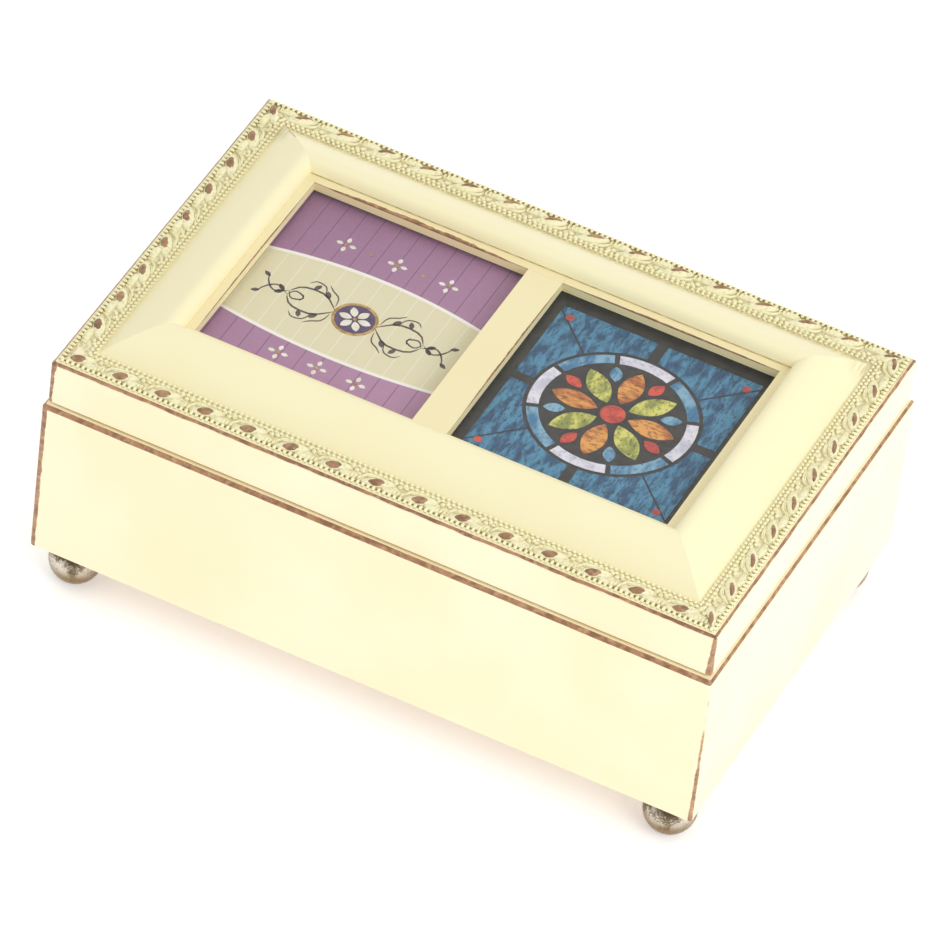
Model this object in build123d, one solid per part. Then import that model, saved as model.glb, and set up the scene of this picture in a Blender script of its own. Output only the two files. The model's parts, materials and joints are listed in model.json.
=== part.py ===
from build123d import *
import math
import os

os.makedirs("parts", exist_ok=True)

# A petite keepsake music box, in millimetres: a mitred case on four ball feet, a hinged lid made of
# carved picture-frame moulding around two card windows, and a musical movement under a clear cover.
# +X runs to the right along the front, +Y to the back and +Z up, with the floor at Z = 0.

# Lid
LID_LENGTH = 152.4
LID_DEPTH = 97.6
LID_SIDE = 11.3           # plain outer face, from the lid's lower edge up to its arris
LID_GAP = 0.4             # shadow line between lid and case
LID_CORNER = 0.8          # radius of the lid's upright corners
LID_EDGE = 0.7            # rubbed bevel on the arris
LID_FOOT_BEVEL = 0.5      # lower edge, eased inwards
LID_LEG = 9.5             # width of the rail where it meets the case
OPEN_ANGLE = 100.0        # the hinges stop the lid here

# Moulding, measured inwards from the rail's outer face, heights from the arris
OUTER_BEADS = (1.1, 2.0)      # strip that carries the outer row of beads
INNER_BEADS = (5.35, 7.05)    # wider strip for the double row beside the crown
BEAD_HEIGHT = 0.32
CROWN_START = 7.15
CROWN_FLANK = (12.0, 3.5)     # a point on the long outer slope
CROWN_SHOULDER = (16.4, 5.55) # where the long slope meets the roll of the crest
CROWN_TOP = 5.75              # highest point of the crest
CROWN_LIP = (20.0, 3.2)       # foot of the short inner slope
LEAF_PITCH = 9.86
LEAF_LENGTH = 7.4
LEAF_WIDTH = 2.5
LEAF_HEIGHT = 0.9
LEAF_TILT = 22.0
LEAF_AT = 3.65
LEAF_TAPER = 40.0
LEAF_COUNT_LONG = 15
LEAF_COUNT_SHORT = 10
FIRST_LEAF_LONG = 4.9         # from the corner at which a rail starts
FIRST_LEAF_SHORT = 4.4

# Window board, panes, cards and backing, from the top down
BOARD_TOP = 2.7               # above the arris
BOARD_THICK = 2.2
PANE_THICK = 1.2
CARD_THICK = 0.4
BACKING_THICK = 2.0
LID_LINING_THICK = 1.2
RABBET_AT = 14.0              # how far in from the outer face the rabbet's wall stands
WINDOW_LENGTH = 50.3
WINDOW_DEPTH = 54.0
MULLION = 8.0
SEAT_GAP = 0.15               # fitting gap around boards, panes and pads
CENTRE_GAP = 1.0              # between the two panes, under the bar

# Case
CASE_PROUD = 0.9              # how far the case stands out past the lid
CASE_HEIGHT = 40.0
CASE_WALL = 9.5
CASE_CORNER = 1.0
CASE_EDGE = 0.8
BOTTOM_THICK = 4.0
BOTTOM_LAP = 4.5              # how far the bottom panel is let into the walls
FOOT_BALL = 11.6
FOOT_HEIGHT = 11.8
FOOT_FLAT = 0.12              # flat worn on the ball's underside
FOOT_NECK_RADIUS = 3.0
FOOT_INSET = 7.55             # centre of a foot from the case's outer faces
FOOT_SIDES = 18               # facets round a ball
FOOT_BANDS = 6                # rings of facets from its flat to its neck

# Hinges
HINGE_LENGTH = 18.0
HINGE_AT = 44.0               # middle of a hinge from the middle of the box
KNUCKLE_RADIUS = 1.3
HINGE_PIN_RADIUS = 0.7
LEAF_PLATE = 0.8
LEAF_PLATE_DEPTH = 6.7        # how far a leaf is let in over the case's back wall
KNUCKLE_GAP = 0.15
HINGE_STANDOFF = 0.15         # barrel clear of the case's back face
TURN_GAP = 0.05               # running clearance of a pin or shaft
FIT_GAP = 0.02                # a seat pushed on by hand
SWING_GAP = 0.35              # between a leaf and the other leaf's knuckle

# Tray and movement bay
BAY_LENGTH = 59.6
PARTITION = 4.0
COVER_THICK = 2.0
COVER_DOWN = 1.0              # cover's top below the case's rim
CLEAT = 4.0
LINING = 1.2
FLOOR_PAD = 2.0
LINING_DOWN = 1.5             # lining stops this far below the rim
PAD_SIZE = 5.0                # felt pads that the lid comes down on

# Musical movement. U runs along +X from the winding arbor, V along +Y from the cylinder's axis
# and W up from the bedplate's top face.
BED_U = (-12.8, 44.0)
BED_V = (-23.0, 18.0)
BED_THICK = 2.5
BED_BOSS = 2.5
BED_CORNER = 2.0
BOSS_RADIUS = 3.0
BED_MARGIN = 1.4              # bedplate's left edge from the case wall
TRAIN_V = 2.5                 # cylinder's axis behind the middle of the case
AXIS_W = 10.0                 # cylinder's axis
ARBOR_RADIUS = 2.0
ARBOR_HOLE = 4.5              # hole through the bottom panel
DRUM_RADIUS = 9.0
DRUM_GAP = 0.5                # drum's cap below the crown wheel
CROWN_WHEEL_TEETH = 32
CROWN_PINION_TEETH = 8
CROWN_MODULE = 0.68
CROWN_FACE = (9.9, 12.0)      # the band of teeth, as radii
CROWN_WHEEL_RADIUS = 12.4
CROWN_WHEEL_THICK = 2.0
CROWN_CAP_RADIUS = 3.2
CROWN_CAP_THICK = 1.2
NOTES = 18
NOTE_PITCH = 1.14
CYLINDER_RADIUS = 6.5
CYLINDER_U = (14.5, 35.5)
CYLINDER_ARBOR = 1.0
PIN_OUT = 0.7
PIN_WIDTH = 0.32
PINS_PER_NOTE = 2
COMB_THICK = 0.9
COMB_CLEAR = 0.15             # pin tips to tooth tips
COMB_LENGTH = 14.6
COMB_BASE = 6.5
COMB_SLOT = 0.34
TOOTH_BASS = 8.4
TOOTH_TREBLE = 5.0
BEARING_U = (12.8, 14.0)
BEARING_HALF = 3.0
BEARING_TOP = 2.2             # above the axis
BEARING_FOOT_U = 17.2
BEARING_FOOT_HALF = 7.0
FOOT_PLATE = 1.2
FRAME_FOOT_U = 36.4
WHEEL_U = (37.4, 38.6)
WORM_WHEEL_U = (39.8, 41.0)
WEB_U = (42.2, 43.6)
FRAME_V = (-3.5, 9.5)
FRAME_BACK = 17.5
FRAME_TOP = 17.4
ARM_THICK = 1.4
ARM_V = 12.4
ARM_REACH = 1.6               # of the arm, past the fan's shaft
TRAIN_MODULE = 0.4
CYLINDER_WHEEL_TEETH = 32
PINION_TEETH = 8
WORM_WHEEL_TEETH = 24
IDLER_ANGLE = 20.0            # intermediate arbor, up from the cylinder's axis
IDLER_RADIUS = 0.6
WORM_PITCH_RADIUS = 1.2
WORM_ROOT = 0.8
WORM_TIP = 1.5
WORM_TURNS = 2
WORM_PHASE = 90.0             # sets a gap of the thread over a tooth of the worm wheel
FAN_RADIUS = 3.5
FAN_W = (2.0, 6.6)
FAN_BLADE = 0.4
FAN_HUB = 1.1
SHAFT_RADIUS = 0.6
PIVOT_DEPTH = 0.8
STOP_WIRE_RADIUS = 0.5
STOP_WIRE_V = 18.6
STOP_REACH = 15.7             # the wire's foot ends here, over the fan's blades
STOP_CLEAR = 0.3
STOP_GUIDE_RADIUS = 1.4
STOP_GUIDE_W = 13.4
STOP_HOLE = 1.2
KEY_CLEAR = 2.0               # key above the floor
KEY_HUB_RADIUS = 3.2
KEY_SPAN = 24.0
KEY_HEIGHT = 7.6
KEY_THICK = 1.6
KEY_EYE = 2.0
KEY_CORNER = 1.8
KEY_BELOW = 0.9               # hub's top below the bottom panel

# Heights and half sizes that follow
CASE_X = LID_LENGTH / 2 + CASE_PROUD
CASE_Y = LID_DEPTH / 2 + CASE_PROUD
LID_X = LID_LENGTH / 2
LID_Y = LID_DEPTH / 2
INNER_X = CASE_X - CASE_WALL
INNER_Y = CASE_Y - CASE_WALL
CASE_LOW = FOOT_HEIGHT
FLOOR_TOP = CASE_LOW + BOTTOM_THICK
RIM = CASE_LOW + CASE_HEIGHT
LID_LOW = RIM + LID_GAP
ARRIS = LID_LOW + LID_SIDE
BOARD_LOW = ARRIS + BOARD_TOP - BOARD_THICK
PANE_LOW = BOARD_LOW - PANE_THICK
CARD_LOW = PANE_LOW - CARD_THICK
BACKING_LOW = CARD_LOW - BACKING_THICK
LINING_LOW = BACKING_LOW - LID_LINING_THICK
HINGE_Y = CASE_Y + HINGE_STANDOFF + KNUCKLE_RADIUS
HINGE_Z = RIM + LID_GAP / 2
# The hinge barrels stand out at the back, so the box is moved forward to keep the origin central.
CENTRE_SHIFT = (HINGE_Y + KNUCKLE_RADIUS - CASE_Y) / 2

BAY_END = -INNER_X + BAY_LENGTH
TRAY_START = BAY_END + PARTITION
COVER_LOW = RIM - COVER_DOWN - COVER_THICK
BED_LOW = FLOOR_TOP + BED_BOSS
BED_TOP = BED_LOW + BED_THICK
ARBOR_X = -INNER_X + BED_MARGIN - BED_U[0]
ARBOR_Y = TRAIN_V
AXIS_Z = BED_TOP + AXIS_W
CROWN_PITCH_Z = AXIS_Z + CROWN_MODULE * CROWN_PINION_TEETH / 2
CROWN_LOW = CROWN_PITCH_Z + 1.1 * CROWN_MODULE
DRUM_TOP = CROWN_LOW - DRUM_GAP
CYLINDER_WHEEL_RADIUS = TRAIN_MODULE * CYLINDER_WHEEL_TEETH / 2
PINION_RADIUS = TRAIN_MODULE * PINION_TEETH / 2
WORM_WHEEL_RADIUS = TRAIN_MODULE * WORM_WHEEL_TEETH / 2
IDLER_OUT = CYLINDER_WHEEL_RADIUS + PINION_RADIUS
IDLER_Y = TRAIN_V + IDLER_OUT * math.cos(math.radians(IDLER_ANGLE))
IDLER_Z = AXIS_Z + IDLER_OUT * math.sin(math.radians(IDLER_ANGLE))
WORM_LEAD = math.pi * TRAIN_MODULE
WORM_Y = IDLER_Y + WORM_WHEEL_RADIUS + WORM_PITCH_RADIUS
WORM_X = ARBOR_X + (WORM_WHEEL_U[0] + WORM_WHEEL_U[1]) / 2

SIDES = ("front", "back", "left", "right")
CORNERS = {"front_left": (-1, -1), "front_right": (1, -1), "back_left": (-1, 1), "back_right": (1, 1)}


def save(name, *solids):
    """Write one sub-part, moved into the model's own frame."""
    shape = solids[0] if len(solids) == 1 else Compound(list(solids))
    export_step(Pos(0, -CENTRE_SHIFT, 0) * shape, f"parts/{name}.step")


def block(x, y, z):
    """A box from three (low, high) pairs."""
    size = [high - low for low, high in (x, y, z)]
    middle = [(high + low) / 2 for low, high in (x, y, z)]
    return Pos(*middle) * Box(*size)


def post(radius, x, y, z):
    """An upright round bar at (x, y), over the (low, high) pair z."""
    return Pos(x, y, (z[0] + z[1]) / 2) * Cylinder(radius, z[1] - z[0])


def bar(radius, x, y, z):
    """A round bar along X at (y, z), over the (low, high) pair x."""
    return Pos((x[0] + x[1]) / 2, y, z) * Rot(0, 90, 0) * Cylinder(radius, x[1] - x[0])


def along(u):
    """A pair of U values as X."""
    return tuple(ARBOR_X + value for value in u)


def across(v):
    """A pair of V values as Y."""
    return tuple(TRAIN_V + value for value in v)


def above(w):
    """A pair of W values as Z."""
    return tuple(BED_TOP + value for value in w)


def mitre_zone(side, half_x, half_y, reach, z):
    """The space one side of a mitred frame may fill, between its two 45 degree joints."""
    outer = {
        "front": [(-half_x, -half_y), (half_x, -half_y)],
        "right": [(half_x, -half_y), (half_x, half_y)],
        "back": [(half_x, half_y), (-half_x, half_y)],
        "left": [(-half_x, half_y), (-half_x, -half_y)],
    }[side]
    inner = [(x - math.copysign(reach, x), y - math.copysign(reach, y)) for x, y in outer]
    plan = make_face(Polyline(*outer, *reversed(inner), close=True))
    return Pos(0, 0, z[0]) * extrude(plan, z[1] - z[0])


# Hinges: each pair is a case leaf with two outer knuckles and a lid leaf with the middle knuckle.
KNUCKLE = (HINGE_LENGTH - 2 * KNUCKLE_GAP) / 3


def hinge_plate(middle, z, knuckles):
    """One leaf: a plate let into the wood, cut back from the other leaf's knuckles."""
    ends = (middle - HINGE_LENGTH / 2, middle + HINGE_LENGTH / 2)
    leaf = block(ends, (CASE_Y - LEAF_PLATE_DEPTH, HINGE_Y - KNUCKLE_RADIUS - SWING_GAP), z)
    for knuckle in knuckles:
        leaf += block(knuckle, (CASE_Y - LEAF_PLATE_DEPTH, HINGE_Y), z)
        leaf += bar(KNUCKLE_RADIUS, knuckle, HINGE_Y, HINGE_Z)
    return leaf


def make_hinge(middle):
    """Case leaf with its fixed pin, and the lid leaf that turns on it."""
    low, high = middle - HINGE_LENGTH / 2, middle + HINGE_LENGTH / 2
    outer = [(low, low + KNUCKLE), (high - KNUCKLE, high)]
    inner = [(low + KNUCKLE + KNUCKLE_GAP, high - KNUCKLE - KNUCKLE_GAP)]
    running_hole = bar(HINGE_PIN_RADIUS + TURN_GAP, (low, high), HINGE_Y, HINGE_Z)
    case_leaf = hinge_plate(middle, (RIM - LEAF_PLATE, RIM), outer)
    lid_leaf = hinge_plate(middle, (LID_LOW, LID_LOW + LEAF_PLATE), inner) - running_hole
    case_leaf += bar(HINGE_PIN_RADIUS, (low, high), HINGE_Y, HINGE_Z)
    return case_leaf, lid_leaf


def mortise(middle, z):
    """The shallow pocket that a hinge leaf lies in, open at the back."""
    half = HINGE_LENGTH / 2 + FIT_GAP
    return block((middle - half, middle + half), (CASE_Y - LEAF_PLATE_DEPTH - FIT_GAP, CASE_Y + 1), z)


# Case
def foot_centres():
    return {name: (sx * (CASE_X - FOOT_INSET), sy * (CASE_Y - FOOT_INSET)) for name, (sx, sy) in CORNERS.items()}


def movement_bosses():
    """Bosses that the bedplate stands on over the bottom panel."""
    return [(ARBOR_X + u, TRAIN_V + v) for u, v in ((-8.5, -18.5), (-8.5, 14.0), (38.0, -18.5))]


def make_case():
    outer = extrude(RectangleRounded(2 * CASE_X, 2 * CASE_Y, CASE_CORNER), CASE_HEIGHT)
    outer = chamfer(outer.faces().sort_by(Axis.Z)[-1].outer_wire().edges(), CASE_EDGE)
    ring = Pos(0, 0, CASE_LOW) * outer
    ring -= block((-INNER_X, INNER_X), (-INNER_Y, INNER_Y), (CASE_LOW - 1, RIM + 1))
    lap_x, lap_y = INNER_X + BOTTOM_LAP, INNER_Y + BOTTOM_LAP
    ring -= block((-lap_x, lap_x), (-lap_y, lap_y), (CASE_LOW - 1, FLOOR_TOP))
    for middle in (-HINGE_AT, HINGE_AT):
        ring -= mortise(middle, (RIM - LEAF_PLATE - FIT_GAP, RIM + 1))
    for side in SIDES:
        save(f"{side}_wall", ring & mitre_zone(side, CASE_X, CASE_Y, CASE_WALL + 1, (CASE_LOW, RIM)))

    panel_x, panel_y = lap_x - SEAT_GAP, lap_y - SEAT_GAP
    panel = block((-panel_x, panel_x), (-panel_y, panel_y), (CASE_LOW, FLOOR_TOP))
    panel -= post(ARBOR_HOLE, ARBOR_X, ARBOR_Y, (CASE_LOW - 1, FLOOR_TOP + 1))
    save("bottom_panel", panel)


def make_feet():
    """Ball feet with a small flat below and a neck that meets the case, turned in fine facets."""
    radius = FOOT_BALL / 2
    middle = radius - FOOT_FLAT
    low = -math.asin(middle / radius)
    high = math.acos(FOOT_NECK_RADIUS / radius)
    rings = [low + (high - low) * band / FOOT_BANDS for band in range(FOOT_BANDS + 1)]
    levels = [(radius * math.cos(angle), middle + radius * math.sin(angle)) for angle in rings]
    levels.append((FOOT_NECK_RADIUS, CASE_LOW))
    rims = [Pos(0, 0, z) * RegularPolygon(r, FOOT_SIDES).face() for r, z in levels]
    faces = [rims[0], rims[-1]]
    for lower, upper in zip(rims, rims[1:]):
        for edge, over in zip(lower.outer_wire().edges(), upper.outer_wire().edges()):
            faces.append(make_face(Polyline(edge @ 0, edge @ 1, over @ 1, over @ 0, close=True)).face())
    ball = Solid(Shell(faces))
    for name, (x, y) in foot_centres().items():
        save(f"foot_{name}", Pos(x, y, 0) * ball)


def make_tray():
    """Partition, cleats, clear cover, linings and the pads that the lid comes down on."""
    save("partition", block((BAY_END, TRAY_START), (-INNER_Y, INNER_Y), (FLOOR_TOP, COVER_LOW)))
    cleat_z = (COVER_LOW - CLEAT, COVER_LOW)
    save("cover_cleats",
         block((-INNER_X, -INNER_X + CLEAT), (-INNER_Y, INNER_Y), cleat_z),
         block((-INNER_X + CLEAT, BAY_END), (-INNER_Y, -INNER_Y + CLEAT), cleat_z),
         block((-INNER_X + CLEAT, BAY_END), (INNER_Y - CLEAT, INNER_Y), cleat_z))
    cover = block((-INNER_X + SEAT_GAP, TRAY_START), (-INNER_Y + SEAT_GAP, INNER_Y - SEAT_GAP),
                  (COVER_LOW, COVER_LOW + COVER_THICK))
    cover -= post(STOP_HOLE, WORM_X, TRAIN_V + STOP_WIRE_V, (COVER_LOW - 1, RIM))
    save("movement_cover", cover)
    save("tray_floor_pad", block((TRAY_START, INNER_X), (-INNER_Y, INNER_Y), (FLOOR_TOP, FLOOR_TOP + FLOOR_PAD)))
    wall_z = (FLOOR_TOP + FLOOR_PAD, RIM - LINING_DOWN)
    low_z = (wall_z[0], COVER_LOW)
    save("tray_linings",
         block((TRAY_START + LINING, INNER_X), (-INNER_Y, -INNER_Y + LINING), wall_z),
         block((TRAY_START + LINING, INNER_X), (INNER_Y - LINING, INNER_Y), wall_z),
         block((INNER_X - LINING, INNER_X), (-INNER_Y + LINING, INNER_Y - LINING), wall_z),
         block((TRAY_START, TRAY_START + LINING), (-INNER_Y, INNER_Y), low_z))
    pad_x, pad_y = CASE_X - CASE_WALL / 2, CASE_Y - CASE_WALL / 2
    pad = Pos(0, -pad_y, (RIM + LID_LOW) / 2) * Box(PAD_SIZE, PAD_SIZE, LID_GAP)
    save("lid_pads", Pos(-pad_x, 0, 0) * pad, Pos(pad_x, 0, 0) * pad)


# Lid
def rail_section():
    """The moulding's section: X runs inwards from the outer face, Y up from the arris."""
    low = -LID_SIDE
    shoulder = CARD_LOW - ARRIS
    outline = Polyline((LID_FOOT_BEVEL, low), (0, low + LID_FOOT_BEVEL), (0, -LID_EDGE), (LID_EDGE, 0))
    last = LID_EDGE
    for near, far in (OUTER_BEADS, INNER_BEADS):
        outline += Line((last, 0), (near, 0))
        outline += ThreePointArc((near, 0), ((near + far) / 2, BEAD_HEIGHT), (far, 0))
        last = far
    outline += Line((last, 0), (CROWN_START, 0))
    slope = ThreePointArc((CROWN_START, 0), CROWN_FLANK, CROWN_SHOULDER)
    outline += slope
    outline += TangentArc(CROWN_SHOULDER, CROWN_LIP, tangent=slope % 1)
    outline += Polyline(CROWN_LIP, (CROWN_LIP[0], BOARD_TOP), (RABBET_AT, BOARD_TOP), (RABBET_AT, shoulder),
                        (LID_LEG, shoulder), (LID_LEG, low), (LID_FOOT_BEVEL, low))
    return make_face(outline)


def rail_frame(side):
    """Where a rail starts, the way inwards and the way along, counter-clockwise seen from above."""
    start, inward, onward = {
        "front": ((-LID_X, -LID_Y), (0, 1), (1, 0)),
        "right": ((LID_X, -LID_Y), (-1, 0), (0, 1)),
        "back": ((LID_X, LID_Y), (0, -1), (-1, 0)),
        "left": ((-LID_X, LID_Y), (1, 0), (0, -1)),
    }[side]
    return Plane(origin=(*start, ARRIS), x_dir=(*inward, 0), z_dir=(*onward, 0))


def leaf_bosses(side):
    """The carved leaves of the band, one each pitch, slanting inwards along the rail."""
    long_side = side in ("front", "back")
    count, first = (LEAF_COUNT_LONG, FIRST_LEAF_LONG) if long_side else (LEAF_COUNT_SHORT, FIRST_LEAF_SHORT)
    plane = rail_frame(side)
    rhombus = make_face(Polyline((-LEAF_LENGTH / 2, 0), (0, -LEAF_WIDTH / 2), (LEAF_LENGTH / 2, 0),
                                 (0, LEAF_WIDTH / 2), close=True))
    leaf = Rot(0, 0, LEAF_TILT) * extrude(rhombus, LEAF_HEIGHT, taper=LEAF_TAPER)
    onward, inward = plane.z_dir, plane.x_dir
    turn = math.degrees(math.atan2(onward.Y, onward.X))
    for number in range(count):
        place = plane.origin + onward * (first + number * LEAF_PITCH) + inward * LEAF_AT
        yield Pos(place.X, place.Y, place.Z) * Rot(0, 0, turn) * leaf


def make_rails():
    section = rail_section()
    top = ARRIS + CROWN_TOP + 1
    body = Pos(0, 0, LID_LOW) * extrude(RectangleRounded(LID_LENGTH, LID_DEPTH, LID_CORNER), top - LID_LOW)
    for side in SIDES:
        length = LID_LENGTH if side in ("front", "back") else LID_DEPTH
        rail = extrude(rail_frame(side) * section, length)
        rail += list(leaf_bosses(side))
        rail = rail & body & mitre_zone(side, LID_X, LID_Y, CROWN_LIP[0] + 1, (LID_LOW, top))
        if side == "back":
            for middle in (-HINGE_AT, HINGE_AT):
                rail -= mortise(middle, (LID_LOW - 1, LID_LOW + LEAF_PLATE + FIT_GAP))
        save(f"{side}_rail", rail)


def make_window_stack():
    """Window board, panes, cards, backing board and lining, each lying on the next."""
    half_x, half_y = LID_X - RABBET_AT - SEAT_GAP, LID_Y - RABBET_AT - SEAT_GAP
    board = block((-half_x, half_x), (-half_y, half_y), (BOARD_LOW, BOARD_LOW + BOARD_THICK))
    for side in (-1, 1):
        middle = side * (MULLION + WINDOW_LENGTH) / 2
        board -= Pos(middle, 0, BOARD_LOW) * Box(WINDOW_LENGTH, WINDOW_DEPTH, 3 * BOARD_THICK)
        x = sorted((side * CENTRE_GAP / 2, side * half_x))
        name = "left" if side < 0 else "right"
        save(f"{name}_pane", block(x, (-half_y, half_y), (PANE_LOW, BOARD_LOW)))
        save(f"{name}_card", block(x, (-half_y, half_y), (CARD_LOW, PANE_LOW)))
    save("window_board", board)

    half_x, half_y = LID_X - LID_LEG - SEAT_GAP, LID_Y - LID_LEG - SEAT_GAP
    save("backing_board", block((-half_x, half_x), (-half_y, half_y), (BACKING_LOW, CARD_LOW)))
    save("lid_lining", block((-half_x, half_x), (-half_y, half_y), (LINING_LOW, BACKING_LOW)))


def make_hinges():
    for name, middle in (("left", -HINGE_AT), ("right", HINGE_AT)):
        case_leaf, lid_leaf = make_hinge(middle)
        save(f"{name}_hinge_case_leaf", case_leaf)
        save(f"{name}_hinge_lid_leaf", lid_leaf)


# Musical movement
def toothed_disc(teeth, module, thickness, bore, turn=0.0):
    """A spur wheel lying in XY: straight-sided teeth, slimmer than their gaps so that they run free."""
    pitch_radius = module * teeth / 2
    step = 2 * math.pi / teeth
    half_root = 0.29 * step
    half_tip = 0.13 * step
    root, tip = pitch_radius - 1.15 * module, pitch_radius + 0.8 * module
    points = []
    for number in range(teeth):
        angle = math.radians(turn) + number * step
        for radius, offset in ((root, -half_root), (tip, -half_tip), (tip, half_tip), (root, half_root)):
            points.append((radius * math.cos(angle + offset), radius * math.sin(angle + offset)))
    disc = extrude(make_face(Polyline(*points, close=True)), thickness)
    return disc - Pos(0, 0, thickness / 2) * Cylinder(bore, thickness + 1)


def on_axis(shape, u, y, z):
    """Stand a shape made in XY on an axis along X: its X turns to +Y, its Y to +Z and its Z to +X."""
    return Plane(origin=(ARBOR_X + u, y, z), x_dir=(0, 1, 0), z_dir=(1, 0, 0)) * shape


def make_crown_wheel():
    """Brass wheel on the arbor with teeth cut in its underside, over the cylinder's pinion."""
    disc = post(CROWN_WHEEL_RADIUS, ARBOR_X, ARBOR_Y, (CROWN_LOW, CROWN_LOW + CROWN_WHEEL_THICK))
    inner, outer = CROWN_FACE
    middle_radius = (inner + outer) / 2
    pitch = 2 * math.pi * middle_radius / CROWN_WHEEL_TEETH
    depth = 1.95 * CROWN_MODULE
    tooth = make_face(Polyline((-0.24 * pitch, 0.1), (0.24 * pitch, 0.1), (0.11 * pitch, -depth),
                               (-0.11 * pitch, -depth), close=True))
    teeth = []
    for number in range(CROWN_WHEEL_TEETH):
        angle = 360 * number / CROWN_WHEEL_TEETH
        radial = Plane(origin=(inner, 0, 0), x_dir=(0, 1, 0), z_dir=(1, 0, 0)) * extrude(tooth, outer - inner)
        teeth.append(Pos(ARBOR_X, ARBOR_Y, CROWN_LOW) * Rot(0, 0, angle) * radial)
    wheel = disc + teeth
    return wheel - post(ARBOR_RADIUS + FIT_GAP, ARBOR_X, ARBOR_Y, (AXIS_Z, CROWN_LOW + CROWN_WHEEL_THICK + 1))


def make_key():
    """Low winding key: a threaded hub and a flat bow with two eyes, clear of the floor."""
    top = CASE_LOW - KEY_BELOW
    hub = post(KEY_HUB_RADIUS, 0, 0, (KEY_CLEAR, top))
    bow = extrude(chamfer(Rectangle(KEY_SPAN, KEY_HEIGHT).vertices(), KEY_CORNER), KEY_THICK)
    for side in (-1, 1):
        eye = side * (KEY_SPAN - KEY_HEIGHT) / 2
        bow -= Pos(eye, 0, KEY_THICK / 2) * Cylinder(KEY_EYE, KEY_THICK + 1)
    upright = Pos(0, KEY_THICK / 2, KEY_CLEAR + KEY_HEIGHT / 2) * Rot(90, 0, 0) * bow
    key = hub + upright
    key -= post(ARBOR_RADIUS + FIT_GAP, 0, 0, (KEY_CLEAR + PIVOT_DEPTH, top + 1))
    return Pos(ARBOR_X, ARBOR_Y, 0) * key


def make_winding():
    arbor_low = KEY_CLEAR + PIVOT_DEPTH + FIT_GAP
    cap_z = CROWN_LOW + CROWN_WHEEL_THICK
    arbor = post(ARBOR_RADIUS, ARBOR_X, ARBOR_Y, (arbor_low, cap_z))
    arbor += post(CROWN_CAP_RADIUS, ARBOR_X, ARBOR_Y, (cap_z, cap_z + CROWN_CAP_THICK))
    save("winding_arbor", arbor)
    save("crown_wheel", make_crown_wheel())
    save("winding_key", make_key())


def make_drum():
    """Fixed spring drum on the bedplate, closed, with the arbor running through it."""
    drum = post(DRUM_RADIUS, ARBOR_X, ARBOR_Y, (BED_TOP, DRUM_TOP))
    save("spring_drum", drum - post(ARBOR_RADIUS + TURN_GAP, ARBOR_X, ARBOR_Y, (BED_TOP - 1, DRUM_TOP + 1)))


def make_bedplate():
    """Cast bedplate on three bosses, with a raised pad that carries the comb."""
    bed = block(along(BED_U), across(BED_V), (BED_LOW, BED_TOP))
    bed = chamfer(bed.edges().filter_by(Axis.Z), BED_CORNER)
    for x, y in movement_bosses():
        bed += post(BOSS_RADIUS, x, y, (FLOOR_TOP, BED_LOW))
    tips = TRAIN_V - CYLINDER_RADIUS - PIN_OUT - COMB_CLEAR
    pad_y = (tips - COMB_LENGTH, tips - COMB_LENGTH + COMB_BASE)
    bed += block(along(CYLINDER_U), pad_y, (BED_TOP, AXIS_Z - COMB_THICK / 2))
    save("bedplate", bed - post(ARBOR_RADIUS + TURN_GAP, ARBOR_X, ARBOR_Y, (BED_LOW - 1, BED_TOP + 1)))


def make_comb():
    """Steel comb: one plate slotted into tuned teeth, long for the low notes and short for the high."""
    tips = TRAIN_V - CYLINDER_RADIUS - PIN_OUT - COMB_CLEAR
    front = tips - COMB_LENGTH
    first = ARBOR_X + CYLINDER_U[0] + (CYLINDER_U[1] - CYLINDER_U[0] - (NOTES - 1) * NOTE_PITCH) / 2
    edge = NOTE_PITCH / 2 - COMB_SLOT / 2
    points = [(first - edge, front), (first - edge, tips)]
    for note in range(NOTES - 1):
        length = TOOTH_BASS + (TOOTH_TREBLE - TOOTH_BASS) * note / (NOTES - 1)
        right = first + note * NOTE_PITCH + edge
        left = right + COMB_SLOT
        points += [(right, tips), (right, tips - length), (left, tips - length), (left, tips)]
    last = first + (NOTES - 1) * NOTE_PITCH + edge
    points += [(last, tips), (last, front)]
    comb = Pos(0, 0, AXIS_Z - COMB_THICK / 2) * extrude(make_face(Polyline(*points, close=True)), COMB_THICK)
    save("comb", comb)


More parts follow.
